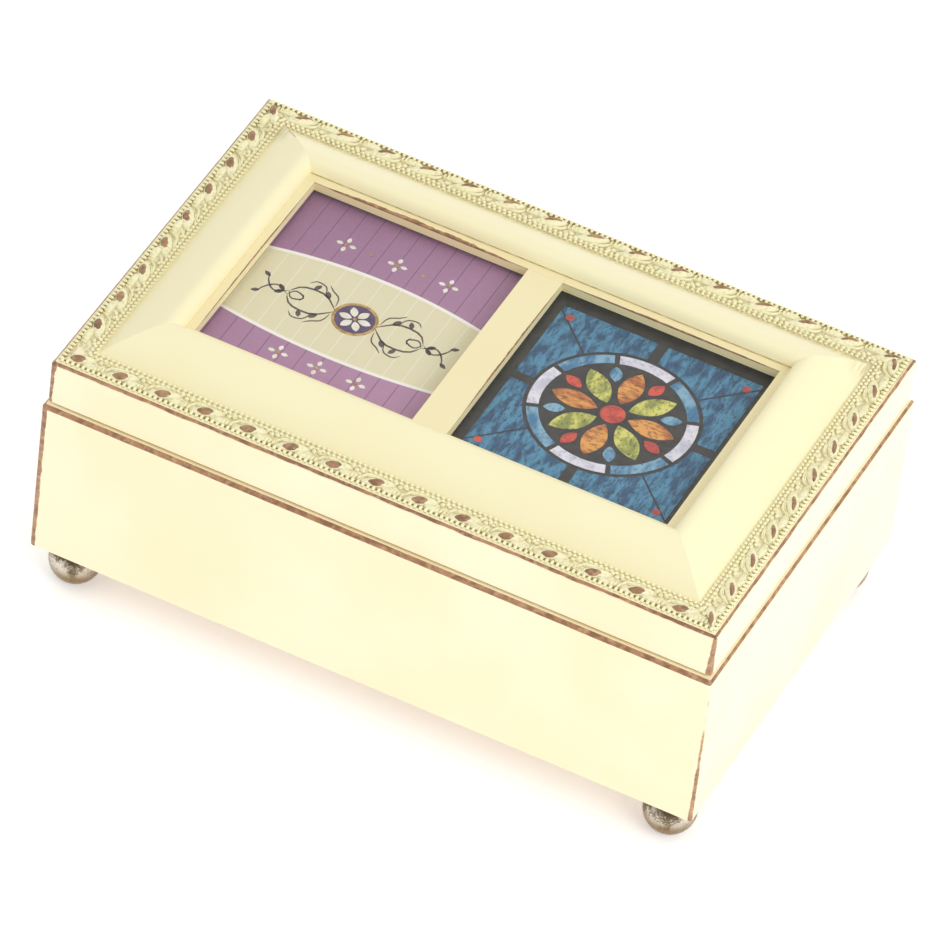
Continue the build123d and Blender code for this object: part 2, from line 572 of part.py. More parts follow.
def make_cylinder():
    """Brass cylinder with steel pins set where each note of the round falls."""
    length = CYLINDER_U[1] - CYLINDER_U[0]
    drum = Pos(0, 0, length / 2) * Cylinder(CYLINDER_RADIUS, length)
    first = (length - (NOTES - 1) * NOTE_PITCH) / 2
    pin = Pos(CYLINDER_RADIUS + PIN_OUT / 2 - 0.2, 0, 0) * Box(PIN_OUT + 0.4, PIN_WIDTH, PIN_WIDTH)
    pins = []
    for note in range(NOTES):
        for beat in range(PINS_PER_NOTE):
            # each note sounds on its own uneven beats, a few pins a turn
            angle = 360 * (beat + 0.37 * math.sin(2.3 * note + 1.7 * beat)) / PINS_PER_NOTE + 29 * note
            pins.append(Pos(0, 0, first + note * NOTE_PITCH) * Rot(0, 0, angle) * pin)
    drum += pins
    drum -= Pos(0, 0, length / 2) * Cylinder(CYLINDER_ARBOR + FIT_GAP, length + 1)
    save("pinned_cylinder", on_axis(drum, CYLINDER_U[0], TRAIN_V, AXIS_Z))
    save("cylinder_arbor", bar(CYLINDER_ARBOR, along((CROWN_FACE[0] - 0.4, WEB_U[1] - 0.6)), TRAIN_V, AXIS_Z))
    pinion = toothed_disc(CROWN_PINION_TEETH, CROWN_MODULE, CROWN_FACE[1] - CROWN_FACE[0],
                          CYLINDER_ARBOR + FIT_GAP, 90 + 180 / CROWN_PINION_TEETH)
    save("cylinder_pinion", on_axis(pinion, CROWN_FACE[0], TRAIN_V, AXIS_Z))
    wheel = toothed_disc(CYLINDER_WHEEL_TEETH, TRAIN_MODULE, WHEEL_U[1] - WHEEL_U[0],
                         CYLINDER_ARBOR + FIT_GAP, IDLER_ANGLE)
    save("cylinder_wheel", on_axis(wheel, WHEEL_U[0], TRAIN_V, AXIS_Z))


def make_bearing():
    """Left bearing: an upright on a screwed foot that reaches under the cylinder."""
    upright = block(along(BEARING_U), across((-BEARING_HALF, BEARING_HALF)), (BED_TOP, AXIS_Z + BEARING_TOP))
    foot = block(along((BEARING_U[0], BEARING_FOOT_U)), across((-BEARING_FOOT_HALF, BEARING_FOOT_HALF)),
                 above((0, FOOT_PLATE)))
    bearing = upright + foot - bar(CYLINDER_ARBOR + TURN_GAP, along((BEARING_U[0] - 1, BEARING_U[1] + 1)),
                                   TRAIN_V, AXIS_Z)
    save("left_bearing", bearing)


def make_governor_frame():
    """Foot plate, web and top arm that carry the cylinder's end, the intermediate arbor and the fan."""
    frame = block(along((FRAME_FOOT_U, WEB_U[1])), across((FRAME_V[0], FRAME_BACK)), above((0, FOOT_PLATE)))
    frame += block(along(WEB_U), across(FRAME_V), above((0, FRAME_TOP)))
    fan_top = FAN_W[1] + STOP_CLEAR
    frame += block(along(WEB_U), across((FRAME_V[1], FRAME_BACK)), above((fan_top, FRAME_TOP)))
    arm_u = (WORM_X - ARBOR_X - ARM_REACH, WEB_U[1])
    frame += block(along(arm_u), across((ARM_V, FRAME_BACK)), above((FRAME_TOP - ARM_THICK, FRAME_TOP)))
    guide_y = TRAIN_V + STOP_WIRE_V
    frame += post(STOP_GUIDE_RADIUS, WORM_X, guide_y, above((STOP_GUIDE_W, FRAME_TOP)))
    frame -= post(STOP_WIRE_RADIUS + TURN_GAP, WORM_X, guide_y, above((STOP_GUIDE_W - 1, FRAME_TOP + 1)))
    frame -= bar(CYLINDER_ARBOR + TURN_GAP, along((WEB_U[0] - 1, WEB_U[1] + 1)), TRAIN_V, AXIS_Z)
    frame -= bar(IDLER_RADIUS + TURN_GAP, along((WEB_U[0] - 1, WEB_U[1] + 1)), IDLER_Y, IDLER_Z)
    frame -= post(SHAFT_RADIUS + TURN_GAP, WORM_X, WORM_Y, above((FOOT_PLATE - PIVOT_DEPTH, FOOT_PLATE + 1)))
    top = FRAME_TOP - ARM_THICK
    frame -= post(SHAFT_RADIUS + TURN_GAP, WORM_X, WORM_Y, above((top - 1, top + PIVOT_DEPTH)))
    save("governor_frame", frame)


def make_intermediate():
    """Intermediate arbor: a pinion driven by the cylinder wheel, and the worm wheel beside it."""
    arbor = bar(IDLER_RADIUS, along((WHEEL_U[0], WEB_U[1])), IDLER_Y, IDLER_Z)
    # the pinion stands with a gap where the wheel has a tooth
    pinion = toothed_disc(PINION_TEETH, TRAIN_MODULE, WHEEL_U[1] - WHEEL_U[0], IDLER_RADIUS / 2,
                          IDLER_ANGLE + 180 + 180 / PINION_TEETH)
    wheel = toothed_disc(WORM_WHEEL_TEETH, TRAIN_MODULE, WORM_WHEEL_U[1] - WORM_WHEEL_U[0],
                         IDLER_RADIUS / 2, 0)
    arbor += on_axis(pinion, WHEEL_U[0], IDLER_Y, IDLER_Z)
    arbor += on_axis(wheel, WORM_WHEEL_U[0], IDLER_Y, IDLER_Z)
    save("intermediate_arbor", arbor)


def make_worm():
    """Worm thread as one unbroken helix on the fan's shaft."""
    height = WORM_TURNS * WORM_LEAD
    low = IDLER_Z - height / 2
    path = Helix(WORM_LEAD, height, WORM_ROOT)
    half_foot, sunk = 0.22 * WORM_LEAD, 0.1
    profile = Polyline((-sunk, -half_foot), (WORM_TIP - WORM_ROOT, 0), (-sunk, half_foot), close=True)
    start = Plane(origin=path @ 0, x_dir=(1, 0, 0), z_dir=path % 0)
    thread = sweep(start * make_face(profile), path, is_frenet=True)
    return Pos(WORM_X, WORM_Y, low) * Rot(0, 0, WORM_PHASE - 180 * WORM_TURNS) * thread


def make_governor():
    """Upright shaft with its worm, spun fast by the worm wheel, and the fan that holds the speed."""
    shaft_z = above((FOOT_PLATE - PIVOT_DEPTH + FIT_GAP, FRAME_TOP - ARM_THICK + PIVOT_DEPTH - FIT_GAP))
    shaft = post(SHAFT_RADIUS, WORM_X, WORM_Y, shaft_z)
    core_z = (IDLER_Z - (WORM_TURNS + 1) * WORM_LEAD / 2, IDLER_Z + (WORM_TURNS + 1) * WORM_LEAD / 2)
    shaft += post(WORM_ROOT, WORM_X, WORM_Y, core_z)
    shaft += make_worm()
    save("worm_shaft", shaft)
    fan = block((WORM_X - FAN_RADIUS, WORM_X + FAN_RADIUS), (WORM_Y - FAN_BLADE / 2, WORM_Y + FAN_BLADE / 2),
                above(FAN_W))
    fan += post(FAN_HUB, WORM_X, WORM_Y, above(FAN_W))
    fan -= post(SHAFT_RADIUS + FIT_GAP, WORM_X, WORM_Y, above((FAN_W[0] - 1, FAN_W[1] + 1)))
    save("governor_fan", fan)


def make_stop_wire():
    """Bent wire that the closed lid holds down over the fan; it rises as the lid opens."""
    y = TRAIN_V + STOP_WIRE_V
    foot_z = BED_TOP + FAN_W[1] + STOP_CLEAR
    toe_z = foot_z + STOP_WIRE_RADIUS
    top = (WORM_X, y, LINING_LOW - STOP_CLEAR)
    line = Polyline(top, (WORM_X, y, toe_z), (WORM_X, TRAIN_V + STOP_REACH, toe_z))
    section = Plane(origin=top, z_dir=(0, 0, -1)) * Circle(STOP_WIRE_RADIUS)
    save("stop_wire", sweep(section, path=line, transition=Transition.RIGHT))


make_case()
make_feet()
make_tray()
make_hinges()
make_rails()
make_window_stack()
make_winding()
make_bedplate()
make_drum()
make_comb()
make_cylinder()
make_bearing()
make_governor_frame()
make_intermediate()
make_governor()
make_stop_wire()
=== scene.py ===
# %% [markdown]
# # A keepsake music box with carved picture-frame moulding
# The box is small: its lid is 152.4 mm long. Its wood is painted cream and rubbed back to brown
# along every edge, its lid is a carved frame around two glazed cards, and under the lid lie a
# lined tray and a musical movement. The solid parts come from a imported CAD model, so this script
# adds what a solid model leaves out: beads, leaves, prints, cloth, screws and the finishes.

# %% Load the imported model
import json
import math
import random

import bmesh
import bpy
import numpy as np
from mathutils import Matrix, Vector


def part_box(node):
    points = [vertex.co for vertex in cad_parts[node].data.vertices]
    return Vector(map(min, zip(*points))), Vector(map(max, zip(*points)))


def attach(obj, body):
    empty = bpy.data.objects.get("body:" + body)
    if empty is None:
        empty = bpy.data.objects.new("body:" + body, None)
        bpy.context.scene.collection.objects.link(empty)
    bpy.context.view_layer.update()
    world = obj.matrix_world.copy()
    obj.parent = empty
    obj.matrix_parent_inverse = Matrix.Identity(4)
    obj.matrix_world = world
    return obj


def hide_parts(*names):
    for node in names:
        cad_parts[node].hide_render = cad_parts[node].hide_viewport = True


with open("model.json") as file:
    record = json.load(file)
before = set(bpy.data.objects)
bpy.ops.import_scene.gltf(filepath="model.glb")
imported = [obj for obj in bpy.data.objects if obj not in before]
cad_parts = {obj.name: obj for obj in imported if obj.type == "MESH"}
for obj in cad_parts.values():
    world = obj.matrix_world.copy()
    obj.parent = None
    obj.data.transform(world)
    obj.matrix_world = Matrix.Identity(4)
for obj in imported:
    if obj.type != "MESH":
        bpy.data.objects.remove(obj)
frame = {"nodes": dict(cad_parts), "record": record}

scene = bpy.context.scene
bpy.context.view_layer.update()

# %% [markdown]
# Blender works in metres and the box is drawn in millimetres, with its middle 1.375 mm in front of
# the frame's origin, because the hinge barrels stand out at the back. One small function takes a
# point from the drawing to the frame, so every number below can be read as a size on the real box.

# %% Sizes taken from the drawing
MM = 0.001
CENTRE_SHIFT = 1.375
LID_X, LID_Y, LID_LOW, ARRIS = 76.2, 48.8, 52.2, 63.5
CASE_X, CASE_Y, CASE_LOW, RIM = 77.1, 49.7, 11.8, 51.8
WINDOW_X, WINDOW_Y, BOARD_TOP = (4.0, 54.3), 27.0, 66.2
CARD_TOP = 62.8


def at(x, y, z):
    """A point of the drawing, in millimetres, as a point of the frame, in metres."""
    return Vector((x, y - CENTRE_SHIFT, z)) * MM


def place(name, data):
    """A new object of the scene that holds the given data."""
    thing = bpy.data.objects.new(name, data)
    scene.collection.objects.link(thing)
    return thing


# %% [markdown]
# The photograph was taken with a long lens from the front, well above the box and a little to its
# right, with the camera tipped by seven degrees. A long lens keeps parallel edges nearly parallel,
# so the camera stands two metres away and has a lens of 371 mm.

# %% Camera
CAMERA_AT = at(547.04, -1388.13, 1432.46)
LOOK = Vector((-0.26694, 0.67818, -0.6847)).normalized()
ROLL = math.radians(-7.374)
LENS = 371.3

level = LOOK.cross(Vector((0, 0, 1))).normalized()
up = level.cross(LOOK) * math.cos(ROLL) + level * math.sin(ROLL)
camera = place("camera", bpy.data.cameras.new("camera"))
camera.data.lens = LENS
camera.data.sensor_width = 36
turned = Matrix((LOOK.cross(up), up, -LOOK)).transposed().to_4x4()
camera.matrix_world = Matrix.Translation(CAMERA_AT) @ turned
scene.camera = camera
print("camera", round((CAMERA_AT - at(0, 0, 35)).length, 3), "m from the box")

# %% [markdown]
# Every material below is a small tree of nodes, written as a nested tuple: a kind of node and then
# its values, so (PLUS, (TIMES, a, b), c) is a product and a sum. One helper adds a node: lower-case
# words are its settings, the values that follow the kind go to its open inputs in order, and
# capitalised words go to the inputs of that name. A hex code becomes its colour, and a tuple that
# stands in a tree twice is added only once.

# %% The node helper
MAP, VECTOR = "ShaderNodeMapRange", "ShaderNodeVectorMath"
EASE = MAP, {"interpolation_type": "SMOOTHSTEP"}
MIX = "ShaderNodeMix", {"data_type": "RGBA"}
PLUS, MINUS, TIMES, OVER, TIMES_PLUS, LARGER, SMALLER, SIZE, FRACTION = [
    ("ShaderNodeMath", {"operation": word}) for word in (
        "ADD", "SUBTRACT", "MULTIPLY", "DIVIDE", "MULTIPLY_ADD", "MAXIMUM", "MINIMUM", "ABSOLUTE", "FRACT")]
grown = {}  # what each tuple became in each tree


def plug(tree, socket, value):
    """Links a value to an input if it is a socket or a nested tuple, and otherwise sets it there."""
    if isinstance(value, tuple) and isinstance(value[0], (str, tuple)):
        key = (tree.as_pointer(), repr(value))
        if key not in grown:
            grown[key] = add(tree, *value)
        value = grown[key]
    if isinstance(value, bpy.types.NodeSocket):
        tree.links.new(value, socket)
    else:
        socket.default_value = linear(value) if str(value).startswith("#") else value


def add(tree, kind, *values, **named):
    """Adds one node with its settings and links, and returns one of its outputs."""
    kind, settings = kind if isinstance(kind, tuple) else (kind, {})
    named = {**settings, **named}
    output = named.pop("output", 0)
    node = tree.nodes.new(kind)
    for name, setting in named.items():
        if name[0].islower():
            setattr(node, name, setting)
    inputs = [socket for socket in node.inputs if socket.enabled]
    places = {socket.name.replace(" ", "_"): socket for socket in reversed(inputs)}
    wanted = [(places[name], value) for name, value in named.items() if name[0].isupper()]
    for socket, value in [*zip(inputs, values), *wanted]:
        plug(tree, socket, value)
    outputs = [socket for socket in node.outputs if socket.enabled]
    return next((socket for socket in outputs if socket.name == output), None) or outputs[output]


def linear(code):
    """An sRGB hex colour as the linear colour that a shader takes."""
    values = [int(code[i:i + 2], 16) / 255 for i in (1, 3, 5)]
    return (*[v / 12.92 if v <= 0.04045 else ((v + 0.055) / 1.055) ** 2.4 for v in values], 1.0)


# %% [markdown]
# A product picture like this one has a broad, bright key light and a white surround that fills the
# shadows. The key is a large softbox to the right of the camera, so the end of the box is its
# brightest face and the outer slope of the moulding at the left and back falls into a warm shade.
# The side where the photographer stands is darker, and polished metal shows it as a dark patch.

# %% Studio
SURROUND, BEHIND_CAMERA = 0.9, 0.42
KEY_WAY, KEY_AWAY, KEY_SIZE, KEY_WATTS = (0.74, -0.36, 0.56), 1.6, 0.8, 8.9
scene.view_settings.view_transform = "Standard"
scene.world = bpy.data.worlds.new("studio")
scene.world.use_nodes = True
sky = scene.world.node_tree
direction = add(sky, "ShaderNodeTexCoord", output="Generated")
facing = add(sky, VECTOR, direction, tuple(-LOOK), operation="DOT_PRODUCT", output="Value")
background = sky.nodes["Background"].inputs
plug(sky, background["Strength"], (EASE, facing, 0.7, 0.95, SURROUND, BEHIND_CAMERA))
plug(sky, background["Color"], "#FFFFFF")

key_light = place("key", bpy.data.lights.new("key", "AREA"))
key_light.data.size, key_light.data.energy = KEY_SIZE, KEY_WATTS
way = Vector(KEY_WAY).normalized()
aimed = way.to_track_quat("Z", "Y").to_matrix().to_4x4()
key_light.matrix_world = Matrix.Translation(way * KEY_AWAY) @ aimed
print("surround", SURROUND, "and", BEHIND_CAMERA, "behind the camera")

# %% [markdown]
# A pattern is only convincing at its real size, so the values below are in millimetres: X, Y and Z
# are a point's place on the drawing, and one function makes blots of a given size. Stretched blots
# are brush strokes, grain or the marks of a tool.

# %% Patterns measured in millimetres
OBJECT = (("ShaderNodeTexCoord", {"output": "Object"}),)
DRAWING = (VECTOR, {"operation": "MULTIPLY_ADD"}), OBJECT, [1 / MM] * 3, [0, CENTRE_SHIFT, 0]
X, Y, Z = [(("ShaderNodeSeparateXYZ", {"output": axis}), DRAWING) for axis in "XYZ"]


def blots(size, low=0.0, high=1.0, detail=2.0, stretch=(1, 1, 1)):
    """Soft blots about this many millimetres across, from 0 to 1, cut off at two levels of the noise."""
    grid = (VECTOR, {"operation": "MULTIPLY"}), OBJECT, [1 / (size * MM * s) for s in stretch]
    return EASE, (("ShaderNodeTexNoise", {"output": "Fac"}), grid, 1.0, detail), low, high


def kept_value(label):
    """A number that each point of a mesh keeps under a label."""
    return (("ShaderNodeAttribute", {"attribute_name": label, "output": "Fac"}),)


def between(value, rise, fall, soft):
    """1 between two levels of a value and 0 outside them, with soft edges."""
    return TIMES, (EASE, value, rise - soft, rise + soft), (EASE, value, fall + soft, fall - soft)


def speckled(patches, light, dark, specks, share, third):
    """Two tones in soft patches, and specks of a third over them."""
    return MIX, (TIMES, specks, share), (MIX, patches, light, dark), third


def finish(name, colour, roughness, relief=None, depth=0.0, **fixed):
    """A material with one Principled shader. Its relief, from 0 to 1, is so many millimetres deep."""
    material = bpy.data.materials.new(name)
    material.use_nodes = True
    tree = material.node_tree
    inputs = tree.nodes["Principled BSDF"].inputs
    for label, value in {"Base_Color": colour, "Roughness": roughness, **fixed}.items():
        plug(tree, inputs[label.replace("_", " ")], value)
    if relief:
        bump = add(tree, "ShaderNodeBump", Strength=1.0, Distance=depth * MM, Height=relief)
        plug(tree, inputs["Normal"], bump)
    return material


# %% Floor of matt white paper
floor_mesh = bpy.data.meshes.new("floor")
floor_mesh.from_pydata([(-3, -3, 0), (3, -3, 0), (3, 3, 0), (-3, 3, 0)], [], [(0, 1, 2, 3)])
floor_mesh.materials.append(finish(
    "white_paper", "#FBFBFA", 0.9, Emission_Color=(1, 1, 1, 1), Emission_Strength=0.35))
floor = place("floor", floor_mesh)

# %% [markdown]
# The paint is brushed cream latex over a brown base coat, later rubbed with fine paper. To the eye
# it is a warm, slightly uneven cream with a low sheen, and brown where the rubbing went through.
# The rubbed places lie along edges whose positions are known, so each is a mask made from the
# distance to its edge, and noise makes its width waver as a hand does.

# %% Rubbed edges as masks
def rub_band(low, high, end_low, end_x, waver):
    """Worn through between two heights, and in a thinner band round the ends of the box."""
    start = MAP, (SIZE, X), end_x - 0.3, end_x - 0.05, low, end_low
    over = MINUS, (PLUS, Z, (TIMES_PLUS, blots(5.0), 2 * waver, -waver)), start
    return TIMES, (EASE, over, -0.06, 0.06), (EASE, Z, high + 0.03, high - 0.03)


def rub_ledge(half_x, half_y):
    """Worn through along the outer edge of the rim's top, given the widths left whole each way."""
    wander = TIMES_PLUS, blots(3.0, detail=3.0), 0.3, -0.15
    past = PLUS, (LARGER, (MINUS, (SIZE, X), half_x), (MINUS, (SIZE, Y), half_y)), wander
    return TIMES, (MAP, past, -0.05, 0.05), (MAP, Z, RIM - 0.12, RIM - 0.04)


def rub_corner(x, y, span, widths, fray):
    """A worn stripe down one upright corner, with its width at the foot and at the top of the span."""
    distance = PLUS, (SIZE, (MINUS, X, x)), (SIZE, (MINUS, Y, y))
    frayed = TIMES_PLUS, blots(2.6, detail=3.0), 2 * fray, 1 - fray
    return EASE, (MINUS, (TIMES, (MAP, Z, *span, *widths), frayed), distance), -0.08, 0.08


def rub_sliver(run, first, last, across, line, width):
    """A worn sliver on the window board, along a line from first to last, widest at its middle."""
    share = MAP, run, first, last
    swell = TIMES, (TIMES, share, (MINUS, 1.0, share)), 4.0
    reach = TIMES, swell, (TIMES_PLUS, blots(2.5), 1.2 * width, 0.3 * width)
    worn = MAP, (MINUS, reach, (SIZE, (MINUS, across, line))), -0.05, 0.08
    return TIMES, worn, (MAP, Z, BOARD_TOP - 0.45, BOARD_TOP - 0.25)


# %% Cream paint, rubbed through
CREAM, CREAM_WARM = "#FEF2CF", "#FCEDC5"
RUB, RUB_DARK, RUB_LIGHT = "#B48764", "#8C6549", "#CFAA84"
cream_paint = MIX, blots(30.0, 0.35, 0.7), CREAM, CREAM_WARM
rubbed_brown = speckled(blots(2.2, 0.35, 0.65, 3.0), RUB, RUB_DARK,
                        blots(0.5, 0.5, 0.66, 4.0, (3, 3, 2)), 0.6, RUB_LIGHT)
brush_marks = blots(0.9, detail=3.0, stretch=(14, 3, 1))


def toned(tint, share=0.75):
    """The same cream leaning towards a tint, a copy made yellower to offset the pinker light on the crown
    and in the recessed board.
    """
    return MIX, share, cream_paint, tint


def painted(part, rubs, coat=cream_paint):
    """A painted finish, brown wherever one of the rubs wore through the coat."""
    worn = rubs[0]
    for rub in rubs[1:]:
        worn = LARGER, worn, rub
    return finish(f"rubbed_cream_paint_{part}", (MIX, worn, coat, rubbed_brown), 0.42, brush_marks, 0.02)


def corner_rubs(half_x, half_y, span, widths, fray):
    """A worn stripe for each corner, from a table of widths at the foot and at the top."""
    return [rub_corner(sx * half_x, sy * half_y, span, width, fray) for (sx, sy), width in widths.items()]


# %% The three painted finishes
CASE_WEAR = {(-1, -1): (1.3, 1.45), (1, -1): (0.8, 0.5), (1, 1): (0.4, 0.4), (-1, 1): (0.9, 0.5)}
LID_WEAR = {(-1, -1): (0.9, 1.5), (1, -1): (1.15, 0.6), (1, 1): (0.5, 0.9), (-1, 1): (0.8, 1.2)}
CASE_RUBS = [rub_band(RIM - 0.95, RIM - 0.06, RIM - 0.16, CASE_X, 0.08),
             rub_ledge(CASE_X - 0.14, CASE_Y - 0.26),
             *corner_rubs(CASE_X, CASE_Y, (CASE_LOW, RIM), CASE_WEAR, 0.16)]
LID_RUBS = [rub_band(ARRIS - 0.56, ARRIS - 0.04, ARRIS - 0.46, LID_X, 0.16),
            *corner_rubs(LID_X, LID_Y, (LID_LOW, ARRIS), LID_WEAR, 0.45)]
BOARD_RUBS = [rub_sliver(X, -51, -8, Y, WINDOW_Y, 0.95), rub_sliver(X, 8, 52, Y, WINDOW_Y, 0.3),
              rub_sliver(Y, -25, 22, X, -WINDOW_X[1], 0.2), rub_sliver(Y, -20, 24, X, WINDOW_X[0], 0.3)]
case_paint, rail_paint = painted("case", CASE_RUBS), painted("lid", LID_RUBS)
# the board's cream is the yellower copy that offsets the bounce light in its recess
board_paint = painted("board", BOARD_RUBS, toned("#F6EAB6"))


def dress(material, slot, *names):
    """Gives CAD nodes their finish."""
    for name in names:
        node = frame["nodes"][name]
        node.data.materials.clear()
        node.data.materials.append(material)


dress(case_paint, "painted_wood", "front_wall", "back_wall", "left_wall", "right_wall")
dress(rail_paint, "painted_moulding", "front_rail", "back_rail", "left_rail", "right_rail")
dress(board_paint, "painted_moulding", "window_board")
print("places rubbed through:", len(CASE_RUBS) + len(LID_RUBS) + len(BOARD_RUBS))

# %% [markdown]
# On a real frame moulding the carving is pressed in a thin skin of composition, a putty of chalk
# and glue, laid over a plain wooden rail. The same is done here: each rail gets a skin that follows
# the rail's own section as a smooth curve, cut at 45 degrees at its ends. Each point of the skin
# keeps its distance from the outer face as an attribute, so the finish can follow the moulding.

# %% The moulding's section
CROWN_START, CROWN_FLANK, CROWN_SHOULDER, CROWN_LIP = (7.15, 0.0), (12.0, 3.5), (16.4, 5.55), (20.0, 3.2)
SKIN_UP, SKIN_DOWN = 0.05, 0.25


def circled(angle, radius, centre=(0.0, 0.0)):
    """The point of a circle at an angle in radians."""
    return centre[0] + radius * math.cos(angle), centre[1] + radius * math.sin(angle)


def arc_points(centre, start, end, count):
    """Points of a circle from start to end, the short way round."""
    first, last = [math.atan2(p[1] - centre[1], p[0] - centre[0]) for p in (start, end)]
    turn = (last - first + math.pi) % (2 * math.pi) - math.pi
    radius = math.dist(centre, start)
    return [circled(first + turn * i / count, radius, centre) for i in range(count + 1)]


def centre_through(*points):
    """The middle of the circle through three points."""
    a, b, c = np.array(points)
    return tuple(np.linalg.solve([b - a, c - a], [(b @ b - a @ a) / 2, (c @ c - a @ a) / 2]))


def centre_on(start, towards, end):
    """The middle, on the line from start, of the circle that passes through start and end."""
    way = Vector((towards[0] - start[0], towards[1] - start[1])).normalized()
    chord = Vector((end[0] - start[0], end[1] - start[1]))
    return tuple(Vector(start) + way * chord.length_squared / (2 * chord.dot(way)))


slope_centre = centre_through(CROWN_START, CROWN_FLANK, CROWN_SHOULDER)
slope = arc_points(slope_centre, CROWN_START, CROWN_SHOULDER, 24)
lip_centre = centre_on(CROWN_SHOULDER, slope_centre, CROWN_LIP)
bead_strips = [(0.72, 0.0), (1.1, 0.0), (1.25, 0.3), (1.85, 0.3), (2.0, 0.0), (3.0, 0.12), (4.2, 0.12),
               (5.2, 0.0), (5.35, 0.0), (5.55, 0.3), (6.9, 0.3), (7.05, 0.05)]
section = bead_strips + slope + arc_points(lip_centre, CROWN_SHOULDER, CROWN_LIP, 18)[1:]
highest = max(height for _, height in section)
print(len(section), "points in the moulding's section, highest at", round(highest, 2), "mm")

# %% [markdown]
# A rail runs along one side of the lid. The same four frames place the skins, the rows of beads
# and the leaves: where the side starts, the way along it, the way inwards and its length. Almost
# every shape is a chain of rings, so one function knows the faces of such a chain.

# %% Making pieces
SIDES = {
    "front": ((-LID_X, -LID_Y), (1, 0), (0, 1), 2 * LID_X),
    "right": ((LID_X, -LID_Y), (0, 1), (-1, 0), 2 * LID_Y),
    "back": ((LID_X, LID_Y), (-1, 0), (0, -1), 2 * LID_X),
    "left": ((-LID_X, LID_Y), (0, -1), (1, 0), 2 * LID_Y),
}


def on_side(side, run, inset, height):
    """A point of the moulding: millimetres along a side, in from its outer face, above the arris."""
    (x, y), onward, inward, _ = SIDES[side]
    x, y = x + onward[0] * run + inward[0] * inset, y + onward[1] * run + inward[1] * inset
    return at(x, y, ARRIS + height)


def stored(shape, mesh):
    """Keeps an edited shape in a mesh."""
    shape.to_mesh(mesh)
    shape.free()
    return mesh


def new_piece(name, vertices, faces, smooth_under=None, shown=True):
    """A closed mesh with its faces outwards. Edges sharper than an angle in degrees stay sharp."""
    mesh = bpy.data.meshes.new(name)
    mesh.from_pydata([tuple(v) for v in vertices], [], faces)
    shape = bmesh.new()
    shape.from_mesh(mesh)
    bmesh.ops.recalc_face_normals(shape, faces=shape.faces)
    stored(shape, mesh)
    if smooth_under is not None:
        mesh.shade_smooth()
        mesh.set_sharp_from_angle(angle=math.radians(smooth_under))
    return place(name, mesh) if shown else bpy.data.objects.new(name, mesh)


def note(mesh, label, values, kind="FLOAT"):
    """Keeps a number, or a direction, with each point of a mesh."""
    data = mesh.attributes.new(label, kind, "POINT").data
    data.foreach_set("value" if kind == "FLOAT" else "vector", np.array(values, np.float32).ravel())


def fit(piece, material, slot, body):
    """Gives a new piece its finish and the body that carries it. The slot is not used."""
    if material:
        piece.data.materials.clear()
        piece.data.materials.append(material)
    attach(piece, body)
    return piece


def ring_faces(rings, sides, ends=True, closed=False):
    """Faces between rings of points in a chain, which is closed by its ends or into a hoop."""
    corners = (0, 0), (0, 1), (1, 1), (1, 0)
    faces = [tuple((i + a) % rings * sides + (j + b) % sides for a, b in corners)
             for i in range(rings if closed else rings - 1) for j in range(sides)]
    caps = [tuple(range(sides)), tuple((rings - 1) * sides + j for j in range(sides))]
    return faces + caps if ends and not closed else faces


def joined(parts):
    """Several pairs of vertices and faces as one pair."""
    vertices, faces = [], []
    for more, loops in parts:
        faces += [tuple(len(vertices) + i for i in loop) for loop in loops]
        vertices += more
    return vertices, faces


# %% Skins of composition over the rails
def skin(side):
    """A closed strip that lies just over the rail and reaches a little way down into it."""
    length = SIDES[side][3]
    loop = [(s, h + SKIN_UP) for s, h in section] + [(s, h - SKIN_DOWN) for s, h in reversed(section)]
    count = len(loop)
    near = [on_side(side, s, s, h) for s, h in loop]
    far = [on_side(side, length - s, s, h) for s, h in loop]
    faces = ring_faces(2, count, ends=False)
    for base in (0, count):
        faces += [(base + i, base + i + 1, base + count - 2 - i, base + count - 1 - i)
                  for i in range(count // 2 - 1)]
    piece = new_piece(f"composition_{side}", near + far, faces, 35)
    note(piece.data, "inset", [s for s, _ in loop] * 2)
    return piece


# %% [markdown]
# The composition is painted as the wood is, but the glaze that antiques it stays in the hollows:
# olive gold between the beads, and fine streaks at the foot of the crown along the back, with a
# painted shade that darkens them towards the beads. At the back left the mitre has opened by a
# hair, which such frames nearly always do with age.

# %% Glazed composition
GLAZE, GLAZE_DEEP, FAINT_GLAZE_AND_SHADE, CRACK = "#AF9B62", "#74592F", "#D6C99C", "#5B4A3C"
CRACK_RUN = (9.4, 12.4)
OUTER_GROOVE, LEAF_GROUND, INNER_GROOVE = (1.3, 1.95, 0.12), (2.1, 5.2, 0.1), (6.05, 6.72, 0.12)


def mitre_crack():
    """A dark hair line on the back left mitre, between two distances from the corner."""
    from_x = PLUS, X, LID_X
    off = SIZE, (MINUS, from_x, (MINUS, LID_Y, Y))
    return TIMES, (EASE, off, 0.16, 0.08), between(from_x, *CRACK_RUN, 0.4)


